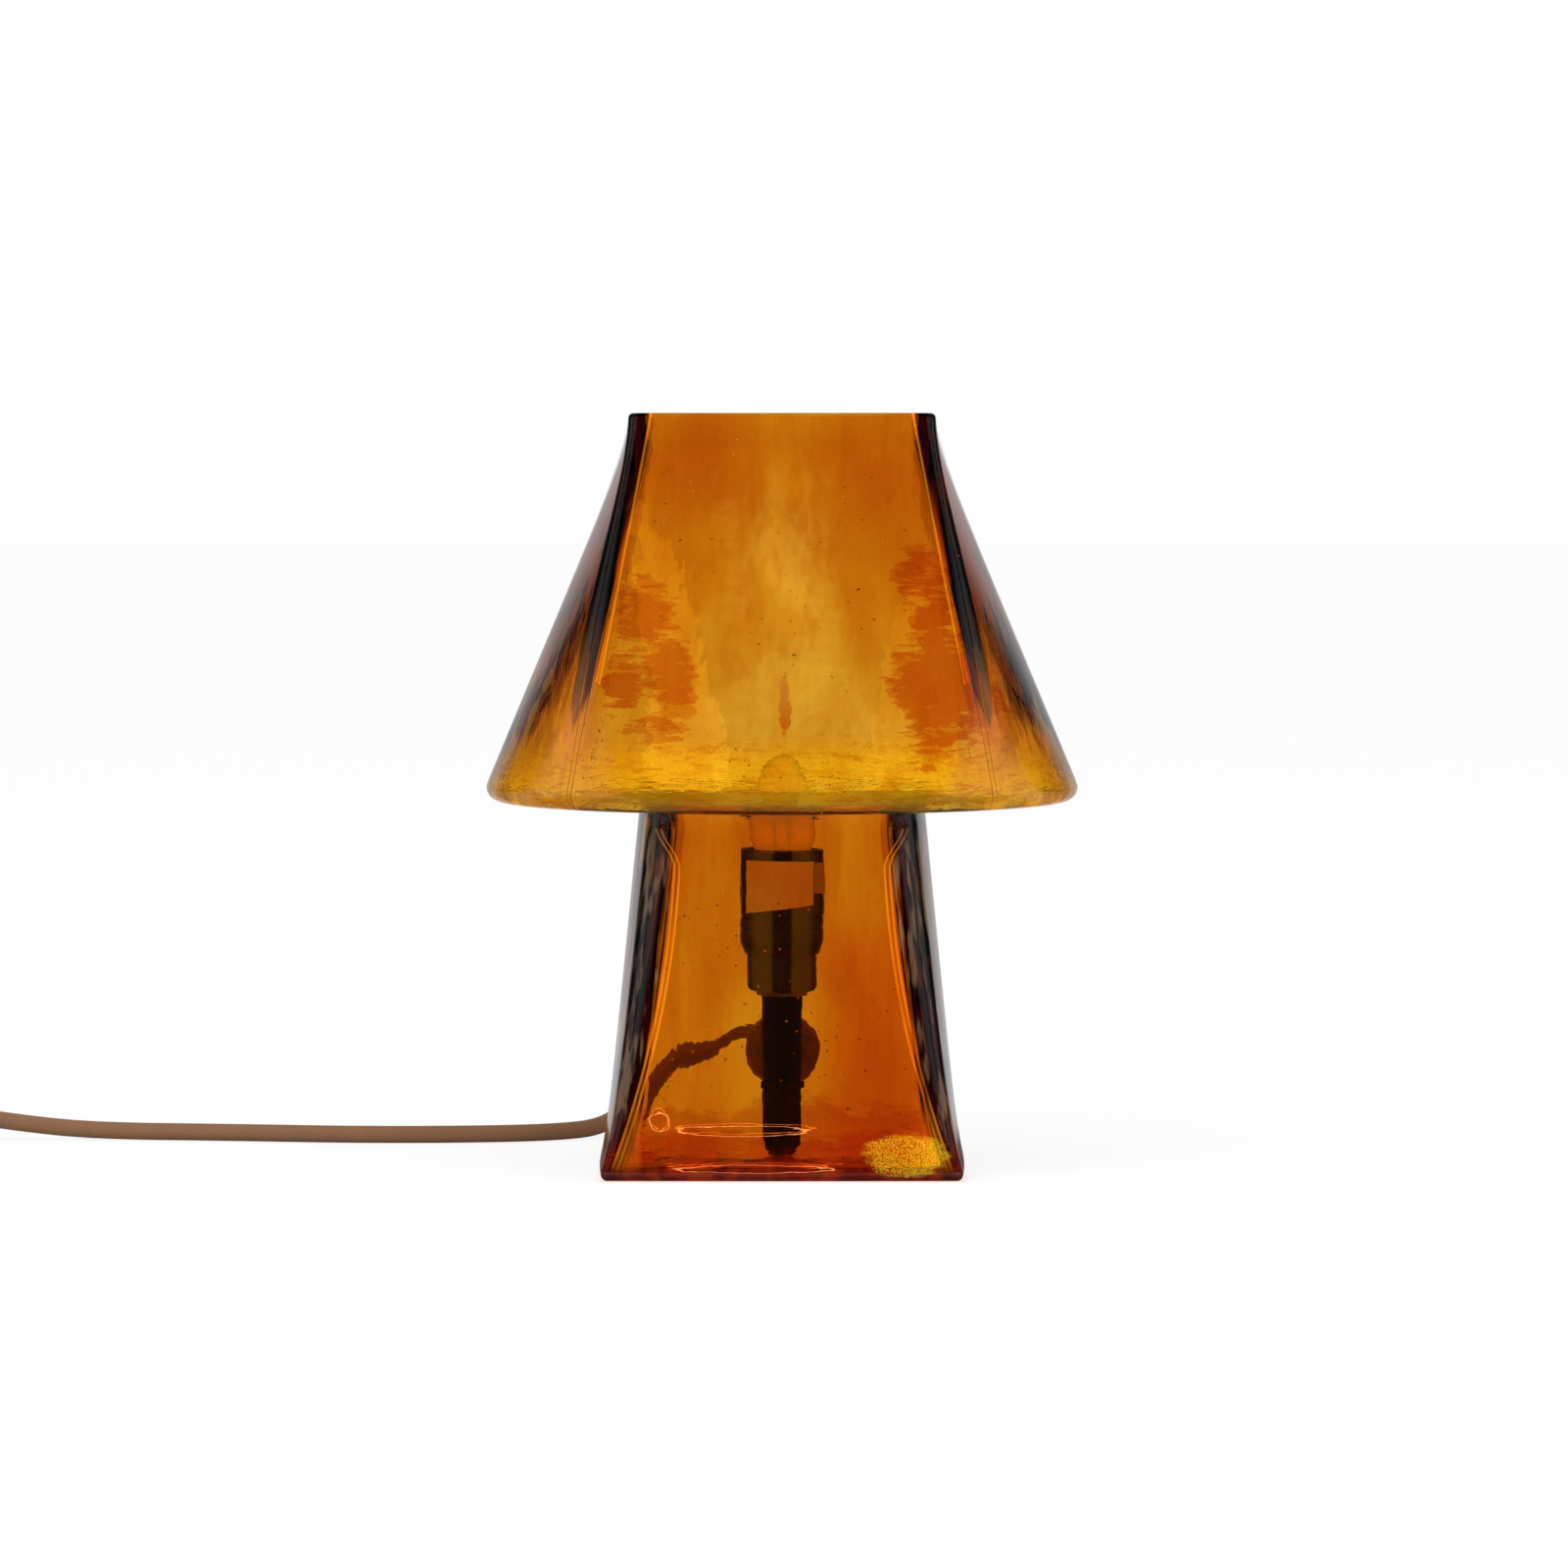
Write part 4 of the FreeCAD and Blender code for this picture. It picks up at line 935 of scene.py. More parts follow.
def grown(name: str, rings: Sequence[Sequence[Vector]], hollow: bool = False,
          sharp_degrees: float = 180.0) -> bpy.types.Object:
    """A shell grown ring by ring.

    Args:
        name: The piece's name.
        rings: Its rings' points in metres.
        hollow: Whether the rings come back to the first round a bore.
        sharp_degrees: Edges that turn more than this stay sharp.

    Returns:
        The piece.
    """
    stack = RingStack(name, rings[0], capped=not hollow)
    for ring in [*rings[1:], rings[0]] if hollow else rings[1:]:
        stack.grow(ring)
    stack.close(hollow)
    return stack.finish(sharp_degrees)


def turned(name: str, outline: Sequence[tuple[float, float]], points: int,
           along: Along = Along.Z, centre: Place = ORIGIN, hollow: bool = False
           ) -> bpy.types.Object:
    """A turned piece, grown ring by ring up its outline.

    Args:
        name: The piece's name.
        outline: Radius and level of each ring in millimetres.
        points: Points in each ring.
        along: The axis.
        centre: Where the axis passes, in millimetres.
        hollow: Whether the outline comes back to its start round a bore.

    Returns:
        The piece.
    """
    rings = [round_ring(radius, level, points, along, centre) for radius, level in outline]
    return grown(name, rings, hollow, TURNED_SHARP)


def dress(piece: bpy.types.Object, finish: bpy.types.Material, slot: str, body: Body,
          *nodes: str) -> bpy.types.Object:
    """Gives a new piece its finish and the body it rides on.

    Args:
        piece: The piece.
        finish: Its material.
        slot: The record's material slot; not used.
        body: The body that carries it.
        *nodes: CAD nodes that it stands for.

    Returns:
        The piece.
    """
    piece.data.materials.clear()
    piece.data.materials.append(finish)
    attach(piece, body.value)
    if nodes:
        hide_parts(*nodes)
    LOG.info("%s made, for %s", piece.name, ", ".join(nodes) or "detail")
    return piece


@dataclass
class Assembly:
    """A sub-assembly of the lamp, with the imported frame's nodes and the finishes."""

    nodes: dict[str, bpy.types.Object]
    finishes: Finishes

    def paint(self, painted: dict[str, bpy.types.Material]) -> None:
        """Gives CAD nodes better materials.

        Args:
            painted: The material of each, by the node's name.
        """
        for name, finish in painted.items():
            materials = self.nodes[name].data.materials
            materials.clear()
            materials.append(finish)


# The glass

@dataclass(frozen=True)
class Section:
    """Four bowed sides and four round corners that meet in line."""

    half: float
    flat: float
    turn: float

    def bend(self) -> float:
        """The sides' slope at their ends, in radians."""
        return math.radians(self.turn)

    def corner(self) -> float:
        """Radius of the corners."""
        side = self.half - self.flat * math.tan(self.bend() / 2)
        return (side - self.flat) / (math.cos(self.bend()) - math.sin(self.bend()))

    def with_corner(self, radius: float) -> "Section":
        """The same sides with other corners.

        Args:
            radius: Radius of the new corners.

        Returns:
            The section.
        """
        gap = radius * (math.cos(self.bend()) - math.sin(self.bend()))
        flat = (self.half - gap) / (1 + math.tan(self.bend() / 2))
        return Section(self.half, flat, self.turn)

    def offset(self, inset: float, least: float = 0.4) -> "Section":
        """The section moved inwards all round.

        Args:
            inset: How far; outwards if negative.
            least: Least radius that its corners keep.

        Returns:
            The section.
        """
        moved = Section(self.half - inset, self.flat - inset * math.sin(self.bend()), self.turn)
        return moved if moved.corner() > least else moved.with_corner(least)

    def outline(self, side_points: int, corner_points: int) -> list[tuple[Vector, Vector]]:
        """Points round the section, each with its outward direction.

        Args:
            side_points: Points on each side.
            corner_points: Points on each corner.

        Returns:
            Place and direction of each, in millimetres.
        """
        bend, radius = self.bend(), self.corner()
        bow = self.flat / math.sin(bend)
        hub = self.half - self.flat * math.tan(bend / 2) - radius * math.cos(bend)
        quarter = []
        for index in range(side_points):
            angle = bend * (2 * index / side_points - 1)
            way = Vector((math.cos(angle), math.sin(angle), 0.0))
            quarter.append((Vector((self.half - bow, 0.0, 0.0)) + way * bow, way))
        for index in range(corner_points):
            angle = bend + (math.pi / 2 - 2 * bend) * index / corner_points
            way = Vector((math.cos(angle), math.sin(angle), 0.0))
            quarter.append((Vector((hub, hub, 0.0)) + way * radius, way))
        points = []
        for step in range(4):
            turning = Matrix.Rotation(math.pi / 2 * step, 3, "Z")
            points += [(turning @ spot, turning @ way) for spot, way in quarter]
        return points


@dataclass
class GlassBody(Assembly):
    """Shade and foot blown as one piece: round at the shade's rim and square at both ends."""

    height: float = 254.0
    shade_radius: float = 100.0
    rim_height: float = 128.7
    rim_bottom: float = 123.3
    rim_round: float = 5.0
    top_half: float = 51.5
    top_corner: float = 7.1
    rim_turn: float = 42.0
    top_turn: float = 1.5
    ease: float = 0.08
    ease_power: int = 9
    shelf_rise: float = 4.0
    neck_height: float = 114.0
    neck_half: float = 49.0
    neck_corner: float = 16.4
    neck_turn: float = 11.5
    neck_fillet: float = 7.0
    foot_half: float = 62.1
    foot_corner: float = 3.0
    foot_flare: float = 1.9
    flare_power: int = 9
    foot_turn: float = 1.6
    foot_round: float = 3.4
    sharpening: float = 0.6
    rim_wall: float = 3.5
    top_wall: float = 7.6
    wall_growth: float = 0.75
    lip_wall: float = 5.6
    lip_start: float = 0.9
    side_gain: float = 2.4
    side_focus: int = 4
    gain_in: float = 0.25
    gain_out: float = 0.5
    foot_wall: float = 7.7
    heel_wall: float = 5.0
    heel_fade: float = 9.0
    clamp_wall: float = 4.0
    clamp_radius: float = 16.0
    clamp_blend: float = 16.0
    shelf_wall: float = 1.9
    inner_rim: float = 3.0
    least_corner: float = 1.6
    floor_edge: float = 3.2
    floor_middle: float = 6.0
    floor_slope: float = 22.0
    inner_heel: float = 2.5
    punt_depth: float = 3.0
    foot_ring: float = 5.0
    punt_slope: float = 17.0
    bowl_middle: float = 3.0
    bowl_spread: float = 1.4
    bowl_corner: float = 0.6
    bowl_roundness: float = 0.9
    polish: float = 1.6
    wave: float = 0.3
    wave_scale: float = 0.03
    ripple: float = 0.08
    ripple_scale: float = 0.11
    side_points: int = 16
    corner_points: int = 16
    round_steps: int = 8
    rim_steps: int = 10
    lip_steps: int = 6
    foot_steps: int = 32
    shade_steps: int = 44
    bowl_steps: int = 20
    arm_height: float = 34.5
    hole_radius: float = 5.45
    hole_middle: float = 56.0
    hole_reach: float = 40.0
    hole_points: int = 48

    def shade_shape(self, share: float) -> Section:
        """Section of the shade, round at its rim and square at its top.

        Args:
            share: How far up it is, from 0 at the rim to 1 at the top.

        Returns:
            The section.
        """
        turn = self.rim_turn * (1 - share) + self.top_turn * share
        fall = (1 + self.ease) * share - self.ease * share ** self.ease_power
        half = self.shade_radius - (self.shade_radius - self.top_half) * fall
        rim_flat = self.shade_radius * math.sin(math.radians(self.rim_turn))
        flat = rim_flat * (1 - share) + (self.top_half - self.top_corner) * share
        return Section(half, flat, turn)

    def foot_shape(self, level: float) -> Section:
        """Section of the foot, which spreads and sharpens its corners downwards.

        Args:
            level: Its height in millimetres.

        Returns:
            The section.
        """
        rise = level / self.neck_height
        drop = 1 - rise
        straight = self.foot_half - self.neck_half - self.foot_flare
        half = self.neck_half + straight * drop + self.foot_flare * drop ** self.flare_power
        corner = self.foot_corner + (self.neck_corner - self.foot_corner) * rise ** self.sharpening
        turn = self.foot_turn + (self.neck_turn - self.foot_turn) * rise ** self.sharpening
        return Section(half, half, turn).with_corner(corner)

    def foot_thickness(self, level: float) -> float:
        """Thickness of the foot's walls.

        Args:
            level: The height in millimetres.

        Returns:
            The thickness.
        """
        heel = math.exp(-level / self.heel_fade)
        return self.foot_wall + (self.heel_wall - self.foot_wall) * heel

    def shade_thickness(self, share: float) -> float:
        """Thickness of the shade's wall, which is thinnest where it was blown widest.

        Args:
            share: How far up the shade, 0 to 1.

        Returns:
            The thickness.
        """
        wall = self.rim_wall + (self.top_wall - self.rim_wall) * share ** self.wall_growth
        near_lip = max((share - self.lip_start) / (1 - self.lip_start), 0.0)
        return wall + (self.lip_wall - self.top_wall) * eased(near_lip)

    def ring(self, section: Section, level: float, wall: float = 0.0, gain: float = 1.0
             ) -> list[Vector]:
        """Points of one ring.

        Args:
            section: Its section.
            level: Its height in millimetres.
            wall: Thickness of the glass there, if the ring is on the uneven inner skin.
            gain: How much of the side walls' extra thickness it has.

        Returns:
            The points in metres.
        """
        points = []
        for spot, way in section.outline(self.side_points, self.corner_points):
            spot.z = level
            if wall:
                gap = math.hypot(spot.x, level - self.arm_height) if spot.y > 0 else math.inf
                away = eased(min(max((gap - self.clamp_radius) / self.clamp_blend, 0.0), 1.0))
                uneven = self.wave * noise.noise(spot * self.wave_scale)
                uneven += self.ripple * noise.noise(spot * self.ripple_scale)
                uneven -= self.side_gain * way.x ** self.side_focus * gain
                spot += way * (uneven * away + (wall - self.clamp_wall) * (1 - away))
            points.append(spot * MM)
        return points

    def foot_outside(self) -> list[list[Vector]]:
        """Rings up the foot's outer skin, from the heel to the step under the shade.

        Returns:
            The rings, from the bottom up.
        """
        rings = [self.ring(self.foot_shape(up).offset(inward), up)
                 for inward, up in quarter_steps(self.foot_round, self.round_steps)]
        shelf = self.rim_bottom + self.shelf_rise
        neck = shelf - self.neck_fillet
        for level in levels(self.foot_round, neck, self.foot_steps):
            rings.append(self.ring(self.foot_shape(level), level))
        shape = self.foot_shape(neck)
        for inward, up in reversed(quarter_steps(self.neck_fillet, self.round_steps)[:-1]):
            rings.append(self.ring(shape.offset(-inward), shelf - up))
        return rings

    def foot_lining(self) -> list[list[Vector]]:
        """Rings up the foot's inner skin, from its floor to the shelf under the shade.

        Returns:
            The rings, from the bottom up.
        """
        rings = [self.foot_inside(self.floor_edge + up, inward)
                 for inward, up in quarter_steps(self.inner_heel, self.round_steps)]
        low = self.floor_edge + self.inner_heel
        shelf = self.rim_bottom + self.shelf_rise + self.shelf_wall
        fillet = self.neck_fillet + self.foot_wall
        for level in levels(low, shelf - fillet, self.foot_steps):
            rings.append(self.foot_inside(level, 0.0))
        shape = self.foot_shape(shelf - fillet).offset(self.foot_wall, self.least_corner)
        for inward, up in reversed(quarter_steps(fillet, self.rim_steps)[:-1]):
            rings.append(self.ring(shape.offset(-inward), shelf - up, self.foot_wall,
                                   1.0 - inward / fillet))
        return rings

    def foot_inside(self, level: float, inward: float) -> list[Vector]:
        """One ring of the foot's inner skin.

        Args:
            level: Its height in millimetres.
            inward: How much further in it lies.

        Returns:
            The ring.
        """
        wall = self.foot_thickness(level)
        section = self.foot_shape(level).offset(wall, self.least_corner)
        return self.ring(section.offset(inward), level, wall)

    def shade_outside(self) -> list[list[Vector]]:
        """Rings up the shade's outer skin, from its rim to just below the lip.

        Returns:
            The rings, from the bottom up.
        """
        rim = self.shade_shape(0.0)
        rings = [self.ring(rim.offset(inward), self.rim_bottom + up)
                 for inward, up in quarter_steps(self.rim_round, self.rim_steps)]
        for level in levels(self.rim_bottom + self.rim_round, self.height - self.polish,
                            self.shade_steps):
            rings.append(self.ring(self.shade_shape(self.share_up(level)), level))
        return rings

    def shade_lining(self) -> list[list[Vector]]:
        """Rings up the shade's inner skin, from its shelf to just below the lip.

        Returns:
            The rings, from the bottom up; the last two lie evenly under the lip.
        """
        rim = self.shade_shape(0.0)
        low = self.rim_bottom + self.shelf_wall
        rings = [self.ring(rim.offset(self.rim_wall + inward), low + up, self.rim_wall, 0.0)
                 for inward, up in quarter_steps(self.inner_rim, self.round_steps)]
        heights = levels(low + self.inner_rim, self.height - self.polish, self.shade_steps)
        for index, level in enumerate(heights):
            share = self.share_up(level)
            wall = self.shade_thickness(share)
            section = self.shade_shape(share).offset(wall, self.least_corner)
            gain = min(share / self.gain_in, 1.0) * min((1 - share) / self.gain_out, 1.0)
            uneven = index < self.shade_steps - 2
            rings.append(self.ring(section, level, wall if uneven else 0.0, gain))
        return rings

    def share_up(self, level: float) -> float:
        """How far up the shade a level is, 0 below its rim and 1 at its top."""
        return max((level - self.rim_height) / (self.height - self.rim_height), 0.0)

    def lip_rings(self) -> list[list[Vector]]:
        """Rings over the fire-polished lip, from outside to inside.

        Returns:
            The rings.
        """
        rise = self.height - self.rim_height
        steps = quarter_steps(self.polish, self.lip_steps)[:-1]
        rings = []
        for inward, down in reversed(steps):
            section = self.shade_shape(1 - down / rise).offset(inward)
            rings.append(self.ring(section, self.height - down))
        for inward, down in steps:
            section = self.shade_shape(1 - down / rise)
            section = section.offset(self.lip_wall - inward, self.least_corner)
            rings.append(self.ring(section, self.height - down))
        return rings

    def bowl(self, section: Section, edge: float, middle: float, slope: float
             ) -> list[list[Vector]]:
        """Rings of one face of the raised floor, from its middle out to its edge.

        Args:
            section: The section at its edge.
            edge: Level of its edge.
            middle: Level of its middle.
            slope: Width of the rise between them.

        Returns:
            The rings.
        """
        rings = []
        for index in range(self.bowl_steps):
            outward = (1 - index / self.bowl_steps) ** self.bowl_spread
            inset = (section.half - self.bowl_middle) * outward
            level = edge + (middle - edge) * eased(min(inset / slope, 1.0))
            smaller = section.half - inset
            corner = min(max(section.corner(), inset * self.bowl_corner),
                         self.bowl_roundness * smaller)
            shape = Section(smaller, smaller, section.turn).with_corner(corner)
            rings.append(self.ring(shape, level))
        return rings

    def build(self) -> bpy.types.Object:
        """Grows the outer skin, the fire-polished lip and the inner skin as one shell.

        Returns:
            The glass, with its hole for the arm.
        """
        under = self.foot_shape(0.0).offset(self.foot_ring)
        punt = self.bowl(under, 0.0, self.punt_depth, self.punt_slope)
        punt.append(self.ring(under, 0.0))
        edge = self.foot_shape(self.floor_edge)
        heel = edge.offset(self.foot_thickness(self.floor_edge), self.least_corner)
        floor = self.bowl(heel.offset(self.inner_heel), self.floor_edge, self.floor_middle,
                          self.floor_slope)
        lining = floor + self.foot_lining() + self.shade_lining()
        glass = grown("glass_shell", punt + self.foot_outside() + self.shade_outside()
                      + self.lip_rings() + lining[::-1])
        self.bore(glass)
        return glass

    def bore(self, glass: bpy.types.Object) -> None:
        """Cuts the hole for the arm through the back wall.

        Args:
            glass: The finished shell.
        """
        clear_selection()
        bpy.ops.mesh.primitive_cylinder_add(
            vertices=self.hole_points, radius=self.hole_radius * MM, depth=self.hole_reach * MM,
            location=(0.0, self.hole_middle * MM, self.arm_height * MM),
            rotation=(math.pi / 2, 0.0, 0.0))
        drill = bpy.context.object
        cut = glass.modifiers.new("arm_hole", "BOOLEAN")
        cut.object = drill
        cut.operation = "DIFFERENCE"
        cut.solver = "EXACT"
        clear_selection()
        bpy.context.view_layer.objects.active = glass
        glass.select_set(True)
        bpy.ops.object.modifier_apply(modifier=cut.name)
        bpy.data.objects.remove(drill)

    def place(self) -> None:
        """Builds and dresses the glass."""
        dress(self.build(), self.finishes.amber, "amber_glass", Body.LAMP, "glass_body")


# Bulb

@dataclass
class Bulb(Assembly):
    """The small frosted bulb with its long pointed crown."""

    neck_radius: float = 5.25
    radius: float = 11.9
    wall: float = 0.8
    shell_top: float = 103.3
    height: float = 36.7
    neck_depth: float = 10.0
    bowl_steps: int = 10
    crown_steps: int = 16
    tip_step: float = 16.6
    pinch: float = 0.05
    points: int = 64
    sharp: float = 60.0

    def skin(self, inset: float) -> list[tuple[float, float]]:
        """Outline of one skin, from the neck up to the tip.

        Args:
            inset: How far inside the outer skin it lies.

        Returns:
            Radius and level of each ring.
        """
        middle = self.shell_top + math.sqrt(self.radius ** 2 - self.neck_radius ** 2)
        neck, bowl = self.neck_radius - inset, self.radius - inset
        low_angle = math.acos(neck / bowl)
        outline = [(neck, self.shell_top - self.neck_depth)]
        for index in range(self.bowl_steps + 1):
            angle = -low_angle * (1 - index / self.bowl_steps)
            outline.append((bowl * math.cos(angle), middle + bowl * math.sin(angle)))
        rise = self.shell_top + self.height - inset - middle
        for index in range(1, self.crown_steps + 1):
            angle = math.pi / 2 * index / self.tip_step
            point = 1 - self.pinch * math.sin(2 * angle) ** 2
            outline.append((bowl * math.cos(angle) * point, middle + rise * math.sin(angle)))
        return outline

    def place(self) -> None:
        """Builds the envelope and paints what stands in it and under it."""
        skins = self.skin(self.wall)[::-1] + self.skin(0.0)
        envelope = grown("bulb_glass", [round_ring(r, z, self.points) for r, z in skins],
                         sharp_degrees=self.sharp)
        finishes = self.finishes
        dress(envelope, finishes.frosted, "frosted_glass", Body.BULB, "bulb_envelope")
        self.paint({"bulb_mount": finishes.clear, "bulb_filament": finishes.tungsten,
                    "bulb_screw_base": finishes.nickel, "bulb_insulator": finishes.black_glass,
                    "bulb_tip_contact": finishes.solder})


# Socket and stem

@dataclass(frozen=True)
class Label:
    """Where a piece of paper lies on the sleeve; its ends run to different levels."""

    turn: Span
    low: Span
    high: Span


@dataclass
class SocketStem(Assembly):
    """The black socket on its stem, with the bare paper band round it."""

    sleeve_radius: float = 13.9
    sleeve_wall: float = 2.15
    sleeve_bottom: float = 71.0
    sleeve_top: float = 107.0
    chamfer_rise: float = 4.0
    chamfer_depth: float = 1.6
    groove_levels: Span = (80.0, 84.0)
    groove_depth: float = 0.25
    lip: float = 1.0
    lip_steps: int = 5
    points: int = 72
    front_label: Label = Label((213.0, 317.0), (85.4, 88.2), (103.2, 103.0))
    side_label: Label = Label((319.0, 386.0), (92.2, 91.0), (102.8, 102.2))
    label_lift: float = 0.14
    label_wave: float = 0.1
    label_curl: float = 0.3
    label_curl_end: float = 0.03
    label_thickness: float = 0.12
    label_grid: tuple[int, int] = (40, 10)
    label_sharp: float = 40.0
    bumper_share: float = 0.87
    bumper_flat: float = 0.4
    bumper_tip: float = 7.6
    bumper_steps: int = 8
    bumper_points: int = 56

    def sleeve(self) -> bpy.types.Object:
        """Upper sleeve with a tapered foot, a rounded mouth and moulded lines.

        Returns:
            The sleeve.
        """
        side, low, high = self.sleeve_radius, self.sleeve_bottom, self.sleeve_top
        inner, groove = side - self.sleeve_wall, side - self.groove_depth
        foot = side - self.chamfer_depth
        shoulder = low + self.chamfer_rise
        outline = [(inner, low), (foot - 0.3, low), (foot, low + 0.3),
                   (side - 0.15, shoulder - 0.3), (side, shoulder + 0.2)]
        for level in self.groove_levels:
            outline += [(side, level - 0.5), (groove, level - 0.2), (groove, level + 0.2),
                        (side, level + 0.5)]
        mouth = quarter_steps(self.lip, self.lip_steps)
        outline += [(side - inward, high - down) for inward, down in reversed(mouth)]
        outline += [(inner + inward, high - down) for inward, down in mouth]
        return turned("socket_upper_sleeve", outline, self.points, hollow=True)

    def band(self, name: str, label: Label) -> bpy.types.Object:
        """Bare piece of paper on the sleeve, its edges not quite level.

        Args:
            name: Its name.
            label: Where it lies.

        Returns:
            The paper.
        """
        clear_selection()
        columns, rows = self.label_grid
        bpy.ops.mesh.primitive_grid_add(x_subdivisions=columns, y_subdivisions=rows, size=1.0)
        band = bpy.context.object
        band.name = name
        mesh = bmesh.new()
        mesh.from_mesh(band.data)
        for vertex in mesh.verts:
            along, up = vertex.co.x + 0.5, vertex.co.y + 0.5
            turn, bottom, top = (start + (end - start) * along
                                 for start, end in (label.turn, label.low, label.high))
            angle = math.radians(turn)
            spot = Vector((along * 4, up * 2, label.turn[0]))
            lift = self.label_lift + self.label_wave * noise.noise(spot)
            if min(along, 1 - along) < self.label_curl_end:
                lift += self.label_curl * up
            radius = self.sleeve_radius + lift
            level = bottom + (top - bottom) * up
            vertex.co = Vector((radius * math.cos(angle), radius * math.sin(angle), level)) * MM
        mesh.to_mesh(band.data)
        mesh.free()
        thick = band.modifiers.new("paper_thickness", "SOLIDIFY")
        thick.thickness = self.label_thickness * MM
        thick.offset = 0.0
        bpy.ops.object.modifier_apply(modifier=thick.name)
        bpy.ops.object.shade_smooth_by_angle(angle=math.radians(self.label_sharp))
        return band

    def bumper(self) -> bpy.types.Object:
        """Rounded rubber foot with a moulded ring, from the tee down to the glass floor.

        Returns:
            The foot.
        """
        low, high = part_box("foot_bumper")
        radius = (high[0] - low[0]) / 2 / MM
        bottom, top = low[2] / MM, high[2] / MM
        side = radius * self.bumper_share
        flat = self.bumper_flat
        outline = [(side * flat, bottom)]
        for step in range(1, self.bumper_steps + 1):
            angle = math.pi / 2 * step / self.bumper_steps
            outline.append((side * (flat + (1 - flat) * math.sin(angle)),
                            bottom + self.bumper_tip * (1 - math.cos(angle))))
        outline += [(side, top - 2.6), (radius, top - 2.2), (radius, top - 0.3),
                    (radius - 0.3, top)]
        return turned("rubber_foot", outline, self.bumper_points)

    def place(self) -> None:
        """Builds and dresses the socket and paints the stem's nodes."""
        finishes = self.finishes
        dress(self.sleeve(), finishes.phenolic, "black_phenolic", Body.LAMP, "socket_sleeve")
        dress(self.band("paper_front", self.front_label), finishes.paper, "brown_cord", Body.LAMP)
        dress(self.band("paper_side", self.side_label), finishes.worn_paper, "brown_cord",
              Body.LAMP)
        dress(self.bumper(), finishes.black_rubber, "black_rubber", Body.LAMP, "foot_bumper")
        self.paint({"socket_cap": finishes.phenolic, "socket_core": finishes.core,
                    "socket_screw_shell": finishes.brass, "socket_center_contact": finishes.brass,
                    "terminal_screws": finishes.brass, "cap_set_screw": finishes.steel,
                    "stem_washer": finishes.nickel, "stem_nipple": finishes.steel,
                    "stem_sleeve": finishes.black_steel, "tee_fitting": finishes.black_steel,
                    "socket_leads": finishes.wire})


# Wall clamp

@dataclass
class WallClamp(Assembly):
    """Nuts, washers and rubber seals that clamp the arm in the back wall, and the strain relief."""

    arm_height: float = 34.5
    relief_near: float = 63.7
    relief_far: float = 83.7
    bore: float = 3.05
    arm_bore: float = 4.95
    collar_radius: float = 7.4
    neck_radius: float = 6.1
    rib_radius: float = 6.05
    rib_taper: float = 1.75
    ribs: int = 6
    points: int = 48

    def relief(self) -> bpy.types.Object:
        """Tapered rubber sleeve with a collar and ribs, over the end of the arm and the cord.

        Returns:
            The strain relief.
        """
        near, far, collar = self.relief_near, self.relief_far, self.collar_radius
        outline = [(self.arm_bore, near), (collar - 0.4, near), (collar, near + 0.4),
                   (collar, near + 2.0), (collar - 0.4, near + 2.5), (self.neck_radius, near + 2.6)]
        start = near + 4.0
        span = far - 1.4 - start
        for index in range(self.ribs):
            low = start + span * index / self.ribs
            high = start + span * (index + 0.55) / self.ribs
            radius = self.rib_radius - self.rib_taper * (low - near) / (far - near)
            outline += [(radius, low), (radius - 0.05, high), (radius - 0.75, high + 0.25),
                        (radius - 0.8, low + span / self.ribs - 0.35)]
        outline += [(4.25, far - 1.2), (4.15, far - 0.3), (3.85, far), (self.bore, far),
                    (self.bore, near + 3.6), (self.arm_bore, near + 3.55)]
        return turned("relief_sleeve", outline, self.points, Along.Y,
                      (0.0, 0.0, self.arm_height), hollow=True)

    def place(self) -> None:
        """Builds and dresses the relief and paints the clamp's nodes."""
        finishes = self.finishes
        dress(self.relief(), finishes.brown_rubber, "brown_rubber", Body.LAMP, "strain_relief")
        self.paint({"arm_nipple": finishes.steel, "inner_nut": finishes.steel,
                    "inner_washer": finishes.dull_steel, "outer_washer": finishes.steel,
                    "outer_nut": finishes.steel, "inner_seal": finishes.fibre,
                    "outer_seal": finishes.brown_rubber})


# Cords

